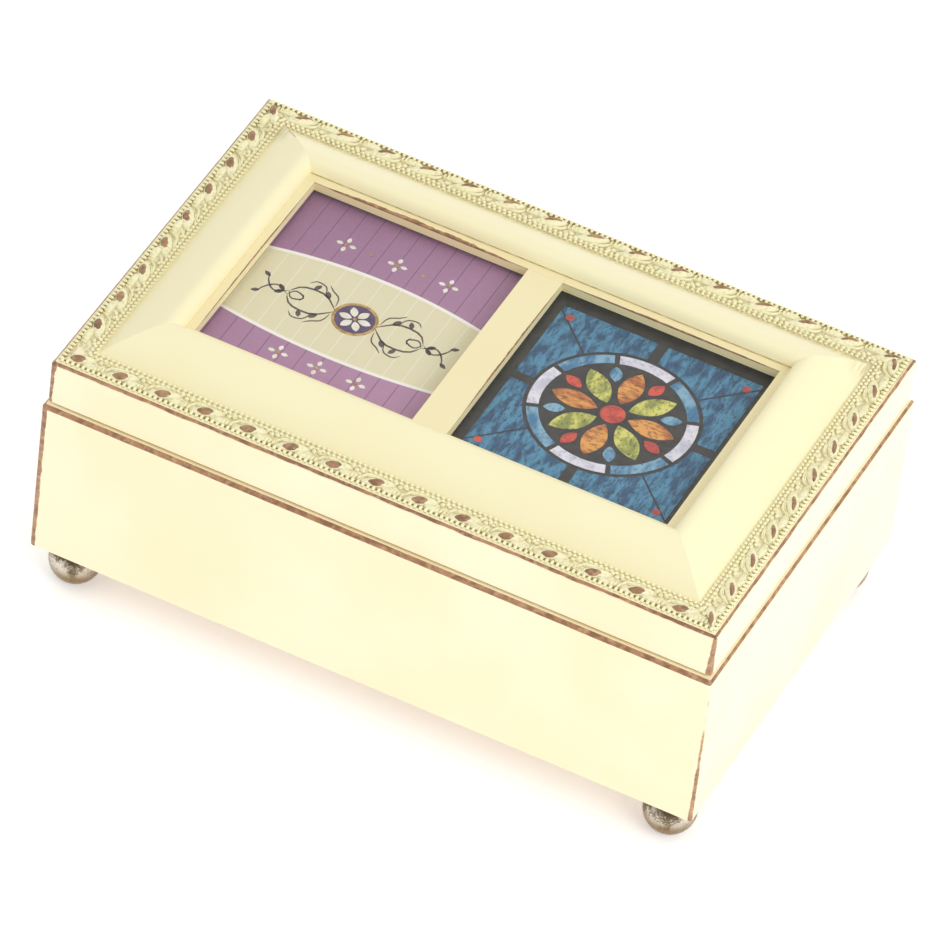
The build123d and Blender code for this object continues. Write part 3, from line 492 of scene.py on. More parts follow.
def glazed():
    """Cream, with gold in the grooves and among the leaves, and faint streaks up the back slope with a
    painted shade towards the beads.
    """
    inset = kept_value("inset")
    beads = LARGER, between(inset, *OUTER_GROOVE), (TIMES, between(inset, *INNER_GROOVE), 0.52)
    leaves = TIMES, between(inset, *LEAF_GROUND), (TIMES, blots(0.9, 0.44, 0.6, 3.0), 0.4)
    fine = TIMES, blots(0.5, 0.3, 0.6, stretch=(1, 9, 9)), 0.8
    # on the back rail, glaze streaks with a painted shade that grows towards the bead row
    streaks = TIMES, (TIMES, (EASE, inset, 12.0, 7.3), fine), (MAP, Y, 34, 38)
    # the crown's cream is the yellower copy that offsets the pinker light on it
    shaded = MIX, streaks, toned("#FDF6C8"), FAINT_GLAZE_AND_SHADE
    gold = MIX, blots(2.2), GLAZE, GLAZE_DEEP
    return MIX, mitre_crack(), (MIX, (LARGER, beads, leaves), shaded, gold), CRACK


composition = finish("glazed_composition", glazed(), 0.38, brush_marks, 0.012)
for side in SIDES:
    fit(skin(side), composition, "painted_moulding", "lid")
print("skins:", len(SIDES))

# %% [markdown]
# Several hundred beads run along the rails, which is just what Geometry Nodes are for. The tree
# takes a line for each side, cuts it into steps of one pitch and sets a bead on every point, a
# little different in size from its neighbours. Its sizes are inputs, so one tree makes every row.
# Realize Instances comes near the end, because an export keeps real meshes only.

# %% Opening, closing and running a tree
def open_tree(name, **inputs):
    """A Geometry Nodes tree with named inputs. Returns it, its input sockets and their identifiers."""
    tree = bpy.data.node_groups.new(name, "GeometryNodeTree")
    labels = {}
    for label, kind in inputs.items():
        socket = tree.interface.new_socket(name=label, in_out="INPUT", socket_type=f"NodeSocket{kind}")
        labels[label] = socket.identifier
    tree.interface.new_socket(name="Geometry", in_out="OUTPUT", socket_type="NodeSocketGeometry")
    return tree, tree.nodes.new("NodeGroupInput").outputs, labels


def close_tree(tree, given, points, turned, sized):
    """Ends a tree: its pattern stands on every point, as plain, finished geometry."""
    shape = add(tree, "GeometryNodeObjectInfo", given["Pattern"], transform_space="ORIGINAL",
                output="Geometry")
    placed = add(tree, "GeometryNodeInstanceOnPoints", points, Instance=shape, Rotation=turned, Scale=sized)
    solid = add(tree, "GeometryNodeRealizeInstances", placed)
    dressed = add(tree, "GeometryNodeSetMaterial", Geometry=solid, Material=given["Finish"])
    plug(tree, tree.nodes.new("NodeGroupOutput").inputs["Geometry"], dressed)


def plain(piece):
    """Keeps what the modifiers of a piece make, and takes the modifiers off."""
    bpy.context.view_layer.update()
    made = bpy.data.meshes.new_from_object(piece.evaluated_get(bpy.context.evaluated_depsgraph_get()))
    piece.modifiers.clear()
    piece.data = made
    made.name = piece.name
    return piece


def run_tree(name, mesh, opened, **values):
    """Runs a tree over a mesh, and keeps what it makes as a plain piece."""
    tree, _, labels = opened
    piece = place(name, mesh)
    modifier = piece.modifiers.new("pattern", "NODES")
    modifier.node_group = tree
    for label, value in values.items():
        modifier[labels[label]] = value
    return plain(piece)


# %% A tree that sets a pattern along lines
along_lines = open_tree("pattern_along_lines", Geometry="Geometry", Pattern="Object", Pitch="Float",
                        Size="Vector", Unevenness="Float", Seed="Int", Finish="Material")
tree, given, _ = along_lines
curves = add(tree, "GeometryNodeMeshToCurve", given["Geometry"])
points = add(tree, "GeometryNodeResampleCurve", curves, mode="LENGTH", Length=given["Pitch"])
onward = add(tree, "GeometryNodeInputTangent")
turned = add(tree, "FunctionNodeAlignRotationToVector", axis="X", pivot_axis="Z", Vector=onward)
uneven = given["Unevenness"]
varied = add(tree, "FunctionNodeRandomValue", data_type="FLOAT_VECTOR", Min=(MINUS, 1.0, uneven),
             Max=(PLUS, 1.0, uneven), Seed=given["Seed"])
sized = add(tree, VECTOR, varied, given["Size"], operation="MULTIPLY")
close_tree(tree, given, points, turned, sized)


def lines_mesh(lines):
    """Straight lines between pairs of points, as a mesh of loose edges."""
    mesh = bpy.data.meshes.new("lines")
    mesh.from_pydata([tuple(end) for line in lines for end in line],
                     [(2 * i, 2 * i + 1) for i in range(len(lines))], [])
    return mesh


# %% Rows of beads
BEAD_PITCH, MITRE_GAP = 1.19, 0.35
BEAD_ROWS = {
    # inset and height of the row, offset of its first bead, size of a bead, unevenness, seed
    "outer_bead_row": (1.55, 0.38, 0.0, (0.76, 1.28, 1.0), 0.07, 3),
    "inner_bead_row_low": (5.8, 0.36, 0.0, (0.92, 0.86, 0.86), 0.09, 4),
    "inner_bead_row_high": (6.66, 0.38, 0.4, (0.86, 0.8, 0.8), 0.09, 5),
}


def row_lines(inset, height, offset):
    """One line along each side, from mitre to mitre."""
    start, short = inset + MITRE_GAP + offset, inset + MITRE_GAP - offset / 2
    return lines_mesh([[on_side(side, run, inset, height) for run in (start, SIDES[side][3] - short)]
                       for side in SIDES])


def low_glaze(low, high, most):
    """Glaze on a raised shape: all of its share at one height over the arris, none at another."""
    return EASE, Z, ARRIS + low, ARRIS + high, most, 0.0


# cream on the crown of a bead, glaze low down where the wipe could not reach
bead_colour = MIX, low_glaze(0.25, 0.56, 0.8), (MIX, blots(4.0), "#FDF8CF", "#F7F1BF"), GLAZE
bead_finish = finish("glazed_beads", bead_colour, 0.36)
ball = bmesh.new()
bmesh.ops.create_icosphere(ball, subdivisions=2, radius=0.5 * MM)
bead = bpy.data.objects.new("bead", stored(ball, bpy.data.meshes.new("bead")))
bead.data.shade_smooth()
beads = 0
for name, (inset, height, offset, size, unevenness, seed) in BEAD_ROWS.items():
    row = run_tree(name, row_lines(inset, height, offset), along_lines, Pattern=bead, Pitch=BEAD_PITCH * MM,
                   Size=size, Unevenness=unevenness, Seed=seed, Finish=bead_finish)
    fit(row, None, "painted_moulding", "lid")
    beads += len(row.data.polygons) // len(bead.data.polygons)
print("beads:", beads)

# %% [markdown]
# Between the bead rows runs a band of leaves, one every 9.86 mm. A leaf is built from tapered
# strokes, as a carver cuts it: a long blade, a bud that stands highest and is rubbed brown, a smooth
# tongue beside it, a curled rim, some short ribs and four pearls. Each stroke is a chain of
# elliptical rings that closes to a point at both ends.

# %% Tapered strokes
WEAR_ABOVE, WEAR_OUTSIDE, SPARED_ENDS = 0.9, 0.45, 0.55
THINNEST = 0.02


def swelling(points, width, height, sharp, fall, steps=9):
    """A smooth line through points, with half widths and heights that swell at its middle."""
    line, widths, heights = [], [], []
    spans = len(points) - 1
    for i in range(steps):
        share = i / (steps - 1)
        k = min(int(share * spans), spans - 1)
        f = share * spans - k
        p, a, b, q = (np.array(points[j]) for j in (max(k - 1, 0), k, k + 1, min(k + 2, spans)))
        line.append(0.5 * (2 * a + (b - p) * f + (2 * p - 5 * a + 4 * b - q) * f**2
                           + (3 * a - p - 3 * b + q) * f**3))
        profile = max(math.sin(math.pi * share), 0.0) ** sharp
        widths.append(max(width * profile, THINNEST))
        heights.append(max(height * profile * (1 - fall * share), THINNEST))
    return line, widths, heights


def side_way(line, i):
    """The unit vector square to a line at one of its points."""
    way = Vector(line[min(i + 1, len(line) - 1)]) - Vector(line[max(i - 1, 0)])
    return Vector((-way.y, way.x)).normalized()


def stroke(line, widths, heights, rub, sides=12):
    """Rings of an ellipse along a line, and how worn each of their points is."""
    vertices, worn = [], []
    for i, (x, y) in enumerate(line):
        inward = side_way(line, i)
        ends = SPARED_ENDS * abs(2 * i / (len(line) - 1) - 1) ** 3
        for j in range(sides):
            across, rise = circled(2 * math.pi * j / sides, 1.0)
            out = inward * widths[i] * across
            vertices.append(Vector((x + out.x, y + out.y, heights[i] * rise)) * MM)
            worn.append(rub * (WEAR_ABOVE * rise - WEAR_OUTSIDE * across - ends))
    return (vertices, ring_faces(len(line), sides)), worn


# %% One leaf of the band
BLUNT_BUD = ([(-2.7, -1.25), (-1.1, -0.7), (0.5, 0.05), (2.0, 0.85)], 1.14, 1.32, 0.85, 0.0, 1.05)
SLIM_BUD = ([(-3.2, -1.35), (-1.3, -0.75), (0.5, 0.05), (2.3, 1.0)], 0.8, 1.3, 0.85, 0.0, 1.15)
LEAF_STROKES = [
    # points of the line, half width, height, sharpness of the ends, fall towards the end, rub
    ([(-3.8, -1.45), (-1.6, -0.75), (1.2, 0.5), (3.8, 1.4)], 1.45, 1.0, 0.8, 0.1, 0.0),
    ([(0.6, -0.5), (2.2, -0.9), (4.0, -0.85), (6.0, -0.2)], 1.0, 0.92, 0.55, 0.3, 0.0),
    ([(-4.0, -0.9), (-3.2, 0.6), (-1.6, 1.35), (1.2, 1.75)], 0.34, 0.78, 0.5, 0.0, 0.0),
    ([(-2.9, 0.3), (-2.0, 0.8), (-0.9, 1.15), (0.6, 1.3)], 0.26, 0.62, 0.5, 0.0, 0.0),
    ([(3.7, -1.6), (4.0, -1.2), (4.1, -0.7), (4.0, -0.1)], 0.24, 0.96, 0.5, 0.0, 0.0),
    ([(4.5, -1.6), (4.8, -1.2), (4.9, -0.6), (4.8, 0.0)], 0.24, 0.92, 0.5, 0.0, 0.0),
    ([(5.3, -1.5), (5.6, -1.1), (5.7, -0.5), (5.6, 0.1)], 0.24, 0.86, 0.5, 0.0, 0.0),
    ([(3.7, 1.0), (4.2, 1.05), (4.6, 1.05), (4.8, 1.0)], 0.5, 0.86, 0.35, 0.0, 0.0),
    ([(2.6, 1.55), (3.0, 1.6), (3.4, 1.6), (3.6, 1.55)], 0.46, 0.8, 0.35, 0.0, 0.0),
    ([(4.7, 1.5), (5.1, 1.55), (5.5, 1.55), (5.7, 1.5)], 0.48, 0.84, 0.35, 0.0, 0.0),
    ([(-4.6, 1.2), (-4.2, 1.25), (-3.9, 1.3), (-3.6, 1.3)], 0.42, 0.7, 0.35, 0.0, 0.0),
]


def leaf_pattern(bud):
    """The strokes of one leaf and its bud, with how worn they are, kept out of the scene."""
    strokes = [stroke(*swelling(*shape), rub) for *shape, rub in [*LEAF_STROKES, bud]]
    leaf = new_piece("leaf", *joined(part for part, _ in strokes), 180, shown=False)
    note(leaf.data, "worn", [value for _, worn in strokes for value in worn])
    return leaf


# %% [markdown]
# The moulding is sawn at 45 degrees with its leaves on it, so a leaf that meets a corner is cut
# through. Each row is cut the same way, and the cuts are filled to keep the leaves closed.

# %% Leaves along the rails
LEAF_PITCH, LEAF_INSET, LEAF_LIFT = 9.86, 3.65, 0.02
LEAF_ROWS = {"front": (15, 4.9, BLUNT_BUD), "right": (10, 4.4, SLIM_BUD), "back": (15, 4.9, SLIM_BUD),
             "left": (9, 4.4, BLUNT_BUD)}


def leaf_colour():
    """Cream with glaze low down, and brown where a bud's outer shoulder was rubbed through."""
    worn = PLUS, kept_value("worn"), (TIMES_PLUS, blots(1.6, detail=3.0), 0.6, -0.3)
    cream = MIX, blots(4.0), "#FDF8D0", "#F8F2C3"
    glaze = LARGER, low_glaze(0.1, 0.62, 0.5), (TIMES, blots(0.7, 0.5, 0.66, 3.0), 0.3)
    wood = MIX, 0.2, rubbed_brown, "#7E6646"
    return MIX, (EASE, worn, 0.5, 0.6), (MIX, glaze, cream, GLAZE), wood


def mitre_cut(piece, side):
    """Cuts a row square to the two mitres of its side."""
    (x, y), onward, inward, length = SIDES[side]
    start, way, into = Vector((x, y, 0)), Vector((*onward, 0)), Vector((*inward, 0))
    shape = bmesh.new()
    shape.from_mesh(piece.data)
    for corner, kept in ((start, way - into), (start + way * length, -way - into)):
        bmesh.ops.bisect_plane(shape, geom=[*shape.verts, *shape.edges, *shape.faces], plane_co=at(*corner),
                               plane_no=kept, clear_inner=True, dist=1e-7)
        bmesh.ops.holes_fill(shape, edges=[edge for edge in shape.edges if edge.is_boundary], sides=0)
    stored(shape, piece.data)
    return piece


leaf_finish = finish("glazed_leaves", leaf_colour(), 0.36, blots(0.6, detail=3.0), 0.05)
for side, (count, first, bud) in LEAF_ROWS.items():
    last = first + (count - 1) * LEAF_PITCH + 0.001
    line = lines_mesh([[on_side(side, run, LEAF_INSET, LEAF_LIFT) for run in (first, last)]])
    row = run_tree(f"leaf_band_{side}", line, along_lines, Pattern=leaf_pattern(bud), Pitch=LEAF_PITCH * MM,
                   Size=(1.0, 1.0, 1.0), Unevenness=0.04, Seed=7, Finish=leaf_finish)
    fit(mitre_cut(row, side), None, "painted_moulding", "lid")
print("leaves:", sum(count for count, _, _ in LEAF_ROWS.values()))

# %% [markdown]
# The feet are turned balls of steel with a satin nickel plate. The solid model gives them flat
# facets to stay light, so here each is turned again as a smooth lathe shape in the same place.
# Their colour holds painted light: a painted highlight on the sides that face four set ways, tarnish
# and painted shade elsewhere, clouds all over, and a painted tan reflection near the floor.

# %% Turned shapes
def lathe(profile, centre, sides=48):
    """A closed turned shape, from (radius, height) pairs that start and end at radius 0."""
    (_, low), *rings, (_, high) = profile
    turns = [2 * math.pi * j / sides for j in range(sides)]
    wall = [at(*circled(turn, radius, centre), z) for radius, z in rings for turn in turns]
    last, top = len(wall) + 1, 1 + (len(rings) - 1) * sides
    faces = [tuple(1 + i for i in face) for face in ring_faces(len(rings), sides, ends=False)]
    for j, k in zip(range(sides), [*range(1, sides), 0]):
        faces += [(0, 1 + k, 1 + j), (last, top + j, top + k)]
    return [at(*centre, low), *wall, at(*centre, high)], faces


# %% Ball feet
FOOT_BALL, FOOT_CENTRE, FOOT_TOP, FOOT_NECK = 5.8, 5.68, 11.8, 3.0
FOOT_X, FOOT_Y = 69.55, 42.15
FEET = {"front_left": (-1, -1), "front_right": (1, -1), "back_left": (-1, 1), "back_right": (1, 1)}
NICKEL_HIGHLIGHT, TARNISH_AND_SHADE, TAN_REFLECTION = "#D2CABD", "#6A5A45", "#86693F"


def foot_profile():
    """The flat foot of the ball, its round side, and the short neck under the case."""
    angles = np.linspace(math.asin(-FOOT_CENTRE / FOOT_BALL), math.acos(FOOT_NECK / FOOT_BALL), 26)
    ball = [circled(angle, FOOT_BALL, (0, FOOT_CENTRE)) for angle in angles]
    return [(0, 0.0), *ball, (FOOT_NECK, FOOT_TOP), (0, FOOT_TOP)]


def nickel_colour():
    """Bright plate as a painted highlight where the ball faces set ways, tarnish and painted shade
    elsewhere, and a painted tan reflection near the floor.
    """
    patches = TIMES_PLUS, blots(2.6, 0.35, 0.65, 3.0), 0.16, -0.08
    grain = TIMES_PLUS, blots(0.4, 0.3, 0.7, 4.0), 0.14, patches
    # bright nickel is a painted highlight; tarnish with painted shade lies elsewhere
    plate = MIX, (EASE, (PLUS, kept_value("touched"), grain), 0.8, 1.08), TARNISH_AND_SHADE, NICKEL_HIGHLIGHT
    # a painted tan reflection on the lower part of the ball
    return MIX, (EASE, Z, 7.0, 3.6, 0.0, 0.9), plate, TAN_REFLECTION


def highlight_sides(foot, centre):
    """How far each point of a foot faces one of four set ways, where the painted highlight falls."""
    ways = [Vector((sign * x, sign * y, -0.1)).normalized()
            for sign in (1, -1) for x, y in ((-0.26, -0.92), (0.8, -0.56))]
    out = [(v.co - at(*centre, FOOT_CENTRE)).normalized() for v in foot.data.vertices]
    return [max(normal.dot(way) for way in ways) for normal in out]


satin_nickel = finish("satin_nickel_plate", nickel_colour(), (MAP, blots(0.6, detail=3.0), 0, 1, 0.2, 0.36),
                      blots(0.5, detail=3.0), 0.004, Metallic=1.0)
for name, (sx, sy) in FEET.items():
    centre = (sx * FOOT_X, sy * FOOT_Y)
    foot = new_piece(f"ball_foot_{name}", *lathe(foot_profile(), centre), 40)
    # each foot keeps how far it faces the ways of its painted highlight
    note(foot.data, "touched", highlight_sides(foot, centre))
    fit(foot, satin_nickel, "satin_nickel", "case")
    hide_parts(f"foot_{name}")
print("ball feet:", len(FEET))

# %% [markdown]
# Each window is a thin clear pane over a printed card. The pane is nearly invisible, so it is a
# surface that lets most light straight through and keeps a faint, sharp gloss.

# %% Panes and cover
clear = finish("clear_acrylic", "#F2F8F6", blots(25.0, 0.2, 12.0), Alpha=0.05, IOR=1.49)
dress(clear, "clear_glass", "left_pane", "right_pane", "movement_cover")
print("materials so far:", len(bpy.data.materials))

# %% [markdown]
# The left card is an uncoated print with a bowed field of cream stripes between two mauve bands.
# Its fields are functions of the place on the card, so their edges stay sharp at any distance. A
# fine grain, drawn about as coarse as canvas paper has it, breaks up the ink.

# %% Fields of the left card
LEFT_MIDDLE = -29.15
BAND_TOP, BAND_LOW, BOW_TOP, BOW_LOW, STRIPE = 10.5, -16.2, -0.0048, 0.0035, 4.2
MAUVE, MAUVE_PALE, MAUVE_LINE = "#9E6F93", "#B689A8", "#744C70"
CARD_CREAM, CARD_STRIPE, CARD_WHITE = "#E6DDB8", "#F2EEDA", "#F8F4E8"


def left_card_colour():
    """Mauve above and below a cream field, fine lines down both, and white along the two bows."""
    u = MINUS, X, LEFT_MIDDLE
    squared = TIMES, u, u
    above = MINUS, Y, (TIMES_PLUS, squared, BOW_TOP, BAND_TOP)
    below = MINUS, (TIMES_PLUS, squared, BOW_LOW, BAND_LOW), Y
    period = SIZE, (MINUS, (FRACTION, (OVER, u, STRIPE)), 0.5)
    grain = TIMES_PLUS, blots(0.7, detail=4.0), 0.5, -0.25
    tones = MIX, (PLUS, (MAP, (MINUS, u, Y), -50, 38), grain), MAUVE, MAUVE_PALE
    mauve = MIX, (MAP, period, 0.45, 0.48, 0.0, 0.55), tones, MAUVE_LINE
    field = MIX, (MAP, period, 0.455, 0.475, 0.0, 0.6), CARD_CREAM, CARD_STRIPE
    fields = MIX, (MAP, (LARGER, above, below), -0.05, 0.05), field, mauve
    edge = SMALLER, (SIZE, above), (SIZE, below)
    return MIX, (MAP, edge, 0.5, 0.38), fields, CARD_WHITE


dress(finish("uncoated_print", left_card_colour(), 0.55, blots(0.4), 0.01), "left_card_print", "left_card")

# %% [markdown]
# On the bands and the field lie printed ornaments: a medallion with a small flower, and vine scrolls.
# Ink has no thickness to speak of, so each shape is a plate 0.03 mm thick, let a little into the card.

# %% Shapes of print
INK, SUNK = 0.03, 0.02


def print_piece(name, outlines, material, slot, middle, lift=0.0):
    """Flat patches of print on a card, as one piece. Outlines are in millimetres from its middle."""
    heights = (CARD_TOP - SUNK, CARD_TOP + INK + lift)
    parts = [([at(middle + x, y, z) for z in heights for x, y in outline], ring_faces(2, len(outline)))
             for outline in outlines]
    return fit(new_piece(name, *joined(parts)), material, slot, "lid")


def ribbon(points, width, sharp=0.6):
    """A printed line that swells at its middle, as a chain of four-sided patches."""
    line, widths, _ = swelling(points, width, 1.0, sharp, 0.0)
    edges = []
    for i, point in enumerate(line):
        out = side_way(line, i) * widths[i]
        edges.append((tuple(Vector(point) + out), tuple(Vector(point) - out)))
    return [(a[0], a[1], b[1], b[0]) for a, b in zip(edges, edges[1:])]


def ellipse(cx, cy, rx, ry, count=28):
    """The outline of an ellipse."""
    turns = [circled(2 * math.pi * i / count, 1.0) for i in range(count)]
    return [(cx + rx * across, cy + ry * rise) for across, rise in turns]


def petal(angle, near, far, half, middle=(0.0, 0.0)):
    """A pointed petal that leaves a middle at an angle in degrees."""
    side = [(near + (far - near) * t, half * math.sin(math.pi * t) ** 0.8)
            for t in np.linspace(0, 1, 9)[1:-1]]
    outline = [(near, 0), *[(x, -y) for x, y in side], (far, 0), *[(x, y) for x, y in reversed(side)]]
    turn = Matrix.Rotation(math.radians(angle), 2)
    return [tuple(turn @ Vector(p) + Vector(middle)) for p in outline]


def ink(name, light, shade, blot, streak=(1, 1, 1), specks=0.4, dark="#2F3338"):
    """Printed colour: two tones in soft blots, with darker specks."""
    return finish(name, speckled(blots(blot, 0.36, 0.64, 4.0, streak), light, shade,
                                 blots(blot / 4, 0.52, 0.7, 4.0, streak), specks, dark), 0.45)


# %% Ornaments of the left card
SCROLL_MIDDLE, UPPER, LOWER = -3.0, 16.6, -20.4
CURLS = [
    # points of the line, half width
    ([(4.6, 0.0), (8.5, 3.4), (13.5, 3.2), (15.6, 0.6)], 0.26),
    ([(15.6, 0.6), (14.4, -1.2), (12.2, -0.4), (12.6, 1.2)], 0.2),
    ([(15.6, 0.6), (18.4, -1.0), (20.6, 0.8), (21.6, 3.4)], 0.2),
    ([(8.5, 3.0), (9.4, 5.6), (11.8, 6.2), (13.0, 4.9)], 0.17),
    ([(5.2, 1.2), (5.8, 4.0), (7.8, 5.4), (9.0, 6.6)], 0.17),
]
VINE_LEAVES = [(60, 0.0, 2.4, 0.6, (7.4, 2.6)), (115, 0.0, 2.2, 0.55, (11.4, 3.6)),
               (-40, 0.0, 2.2, 0.55, (16.6, 0.0)), (30, 0.0, 2.0, 0.5, (21.0, 2.4))]
LOWER_BUDS = [(x, LOWER) for x in (-9, 0, 9)]
BUDS = [*[(x, UPPER) for x in (-12, 0, 12)], *LOWER_BUDS]
SEEDS = [(0, SCROLL_MIDDLE), *[(x, UPPER) for x in (-12, -6, 0, 6, 12)], *LOWER_BUDS]


def vine(sx, sy):
    """One quarter of the vine: curls and leaves, mirrored to their place."""
    shapes = [quad for curl in CURLS for quad in ribbon(*curl)] + [petal(*leaf) for leaf in VINE_LEAVES]
    return [[(sx * x, SCROLL_MIDDLE + sy * y) for x, y in shape] for shape in shapes]


sepia = ink("print_sepia", "#5E4A44", "#4A3A38", 1.0, specks=0.1)
gold_ink = ink("print_gold", "#C9A55A", "#A87F3A", 1.4, specks=0.3, dark="#6A4A22")
violet = ink("print_violet", "#5A3F6A", "#463054", 2.0, specks=0.3)
white_ink = ink("print_white", "#F4EFE2", "#E6DECB", 3.0, specks=0.05)
ORNAMENTS = {
    "vine": ([shape for sx in (-1, 1) for sy in (-1, 1) for shape in vine(sx, sy)], sepia, 0.0),
    "rim": ([ellipse(0, SCROLL_MIDDLE, 5.0, 5.0)], gold_ink, 0.0),
    "medallion": ([ellipse(0, SCROLL_MIDDLE, 4.3, 4.3)], violet, 0.02),
    "flower": ([petal(60 * i, 0.7, 3.7, 0.85, (0, SCROLL_MIDDLE)) for i in range(6)], white_ink, 0.04),
    "seeds": ([ellipse(*seed, 0.42, 0.42, 12) for seed in SEEDS], gold_ink, 0.06),
    "buds": ([petal(angle, 0.7, 2.3, 0.5, bud) for bud in BUDS for angle in (0, 90, 180, 270)],
             white_ink, 0.0),
}
for name, (outlines, material, lift) in ORNAMENTS.items():
    print_piece(f"left_print_{name}", outlines, material, "left_card_print", LEFT_MIDDLE, lift)
print("patches on the left card:", sum(len(outlines) for outlines, _, _ in ORNAMENTS.values()))

# %% [markdown]
# The right card shows a window of leaded glass, drawn here from scratch: a rosette of petals in a
# ring, with blue lights in the corners. Each light is a patch of print on the dark of the lead.
# Old glass is streaked and has been painted on, so its colours run in strokes with dark specks.

# %% Outlines of the leaded lights
RIGHT_MIDDLE = 29.15
LEAD_HALF, RING_OUTSIDE, GLASS_X, GLASS_Y = 0.42, 18.6, 23.2, 24.6


def shrink(outline, amount):
    """An outline moved inwards by the same amount on every side. Corners are listed anticlockwise."""
    moved = []
    for i, corner in enumerate(outline):
        before, here = Vector(outline[i - 1]), Vector(corner)
        after = Vector(outline[(i + 1) % len(outline)])
        normals = [Vector((-(b - a).y, (b - a).x)).normalized() for a, b in ((before, here), (here, after))]
        total = normals[0] + normals[1]
        middle = total.normalized() if total.length > 1e-6 else normals[0]
        moved.append(tuple(here + middle * amount / max(middle.dot(normals[0]), 0.3)))
    return moved


def arc(radius, first, last, steps):
    """Points of a circle between two angles in degrees."""
    return [circled(math.radians(angle), radius) for angle in np.linspace(first, last, steps + 1)]


def corner_lights():
    """Two blue lights that fill one corner outside the ring, split along its diagonal."""
    lower, upper = arc(RING_OUTSIDE, 3, 45, 5), arc(RING_OUTSIDE, 45, 87, 5)
    corner = (GLASS_X, GLASS_X)
    return [[corner, (GLASS_X, 1.0), *lower], [(1.0, GLASS_Y), *upper[::-1], corner, (GLASS_X, GLASS_Y)]]


def anticlockwise(outline):
    """The same outline, turned round if it runs clockwise."""
    area = sum(a[0] * b[1] - b[0] * a[1] for a, b in zip(outline, [*outline[1:], outline[0]]))
    return outline if area > 0 else outline[::-1]


# %% The right card
lights = {colour: [] for colour in ("blue", "amber", "green", "red", "pearl", "sky")}
for i in range(8):
    long_petal = petal(45 * i, 3.2, 14.4, 2.7)
    short_petal = petal(45 * i + 22.5, 9.6, 14.7, 1.5)
    ring = arc(18.2, 45 * i - 21.5, 45 * i + 21.5, 6) + arc(15.2, 45 * i + 21.5, 45 * i - 21.5, 6)
    lights["green" if i % 2 else "amber"].append(shrink(long_petal, LEAD_HALF * 0.5))
    lights["red" if i % 2 else "sky"].append(shrink(short_petal, LEAD_HALF * 0.4))
    lights["sky" if i % 2 else "pearl"].append(shrink(ring, LEAD_HALF * 0.6))
lights["red"].append(ellipse(0, 0, 2.7, 2.7))
for sx, sy in ((-1, -1), (-1, 1), (1, -1), (1, 1)):
    for light in corner_lights():
        light = anticlockwise([(sx * x, sy * y) for x, y in light])
        lights["blue"].append(shrink(light, LEAD_HALF * 0.5))
    lights["red"].append(ellipse(sx * 20.4, sy * 21.6, 0.9, 0.9, 16))
glass = {
    "blue": ink("print_blue", "#4A8CAE", "#194A70", 1.3, (1, 3.4, 1), 0.8, "#12242E"),
    "sky": ink("print_sky", "#84B0C8", "#3A769E", 2.2, (1, 2.0, 1), 0.5),
    "amber": ink("print_amber", "#E8A24A", "#A9551F", 2.2, (2, 1, 1), 0.7, "#4A2814"),
    "green": ink("print_yellow_green", "#DCD66C", "#8E9440", 2.2, (1, 1.8, 1), 0.65, "#3E3E1A"),
    "red": ink("print_red", "#E0523A", "#B23A2A", 2.0, specks=0.3),
    "pearl": ink("print_pearl", "#E9E6EE", "#C9C6D6", 3.0, specks=0.2),
}
dress(ink("print_lead", "#38302A", "#231E1B", 2.0, specks=0.2), "right_card_print", "right_card")
for name, outlines in lights.items():
    lift = 0.02 if name == "red" else 0.0
    print_piece(f"right_print_{name}", outlines, glass[name], "right_card_print", RIGHT_MIDDLE, lift)
print("lights in the right card:", sum(len(outlines) for outlines in lights.values()))

# %% [markdown]
# Inside, the tray and the lid are lined. Such a lining is cotton velvet glued over thin card and
# wadding, so its edges are round and its middle stands a little proud. A box is cut into a fine
# grid, its edges are rounded and its face is crowned, within the space that the solid model keeps.

# %% Padded boards
def wadded(name, low, high, facing, edge, crown, cell=2.4):
    """A board with rounded edges, crowned towards one direction, between two corners of the drawing."""
    low, high = np.array(low, float), np.array(high, float)
    counts = np.maximum(np.ceil((high - low) / cell).astype(int), 2)
    axis = int(np.argmax(np.abs(facing)))
    shape = bmesh.new()
    bmesh.ops.create_cube(shape, size=1.0)
    for k in range(3):
        cuts = [e for e in shape.edges if abs((e.verts[0].co - e.verts[1].co)[k]) > 0.5]
        bmesh.ops.subdivide_edges(shape, edges=cuts, cuts=int(counts[k]) - 1, use_grid_fill=True)
    for vertex in shape.verts:
        share = np.array(vertex.co) + 0.5
        point = low + share * (high - low)
        core = np.clip(point, low + edge, high - edge)
        out = point - core
        if np.linalg.norm(out) > 1e-9:
            point = core + out / np.linalg.norm(out) * edge
        fullness = np.prod([1 - abs(2 * share[k] - 1) ** 6 for k in range(3) if k != axis])
        toward = share[axis] if facing[axis] > 0 else 1 - share[axis]
        point[axis] -= np.sign(facing[axis]) * crown * (1 - fullness) * toward
        vertex.co = at(*point)
    shape.verts.index_update()
    faces = [[vertex.index for vertex in face.verts] for face in shape.faces]
    piece = new_piece(name, [vertex.co for vertex in shape.verts], faces, 180)
    shape.free()
    return piece


# %% [markdown]
# Velvet is a pile that looks lighter or darker as it lies, in soft patches the size of a fingertip,
# so its colour is two ivories in such patches under a very fine darker speckle.

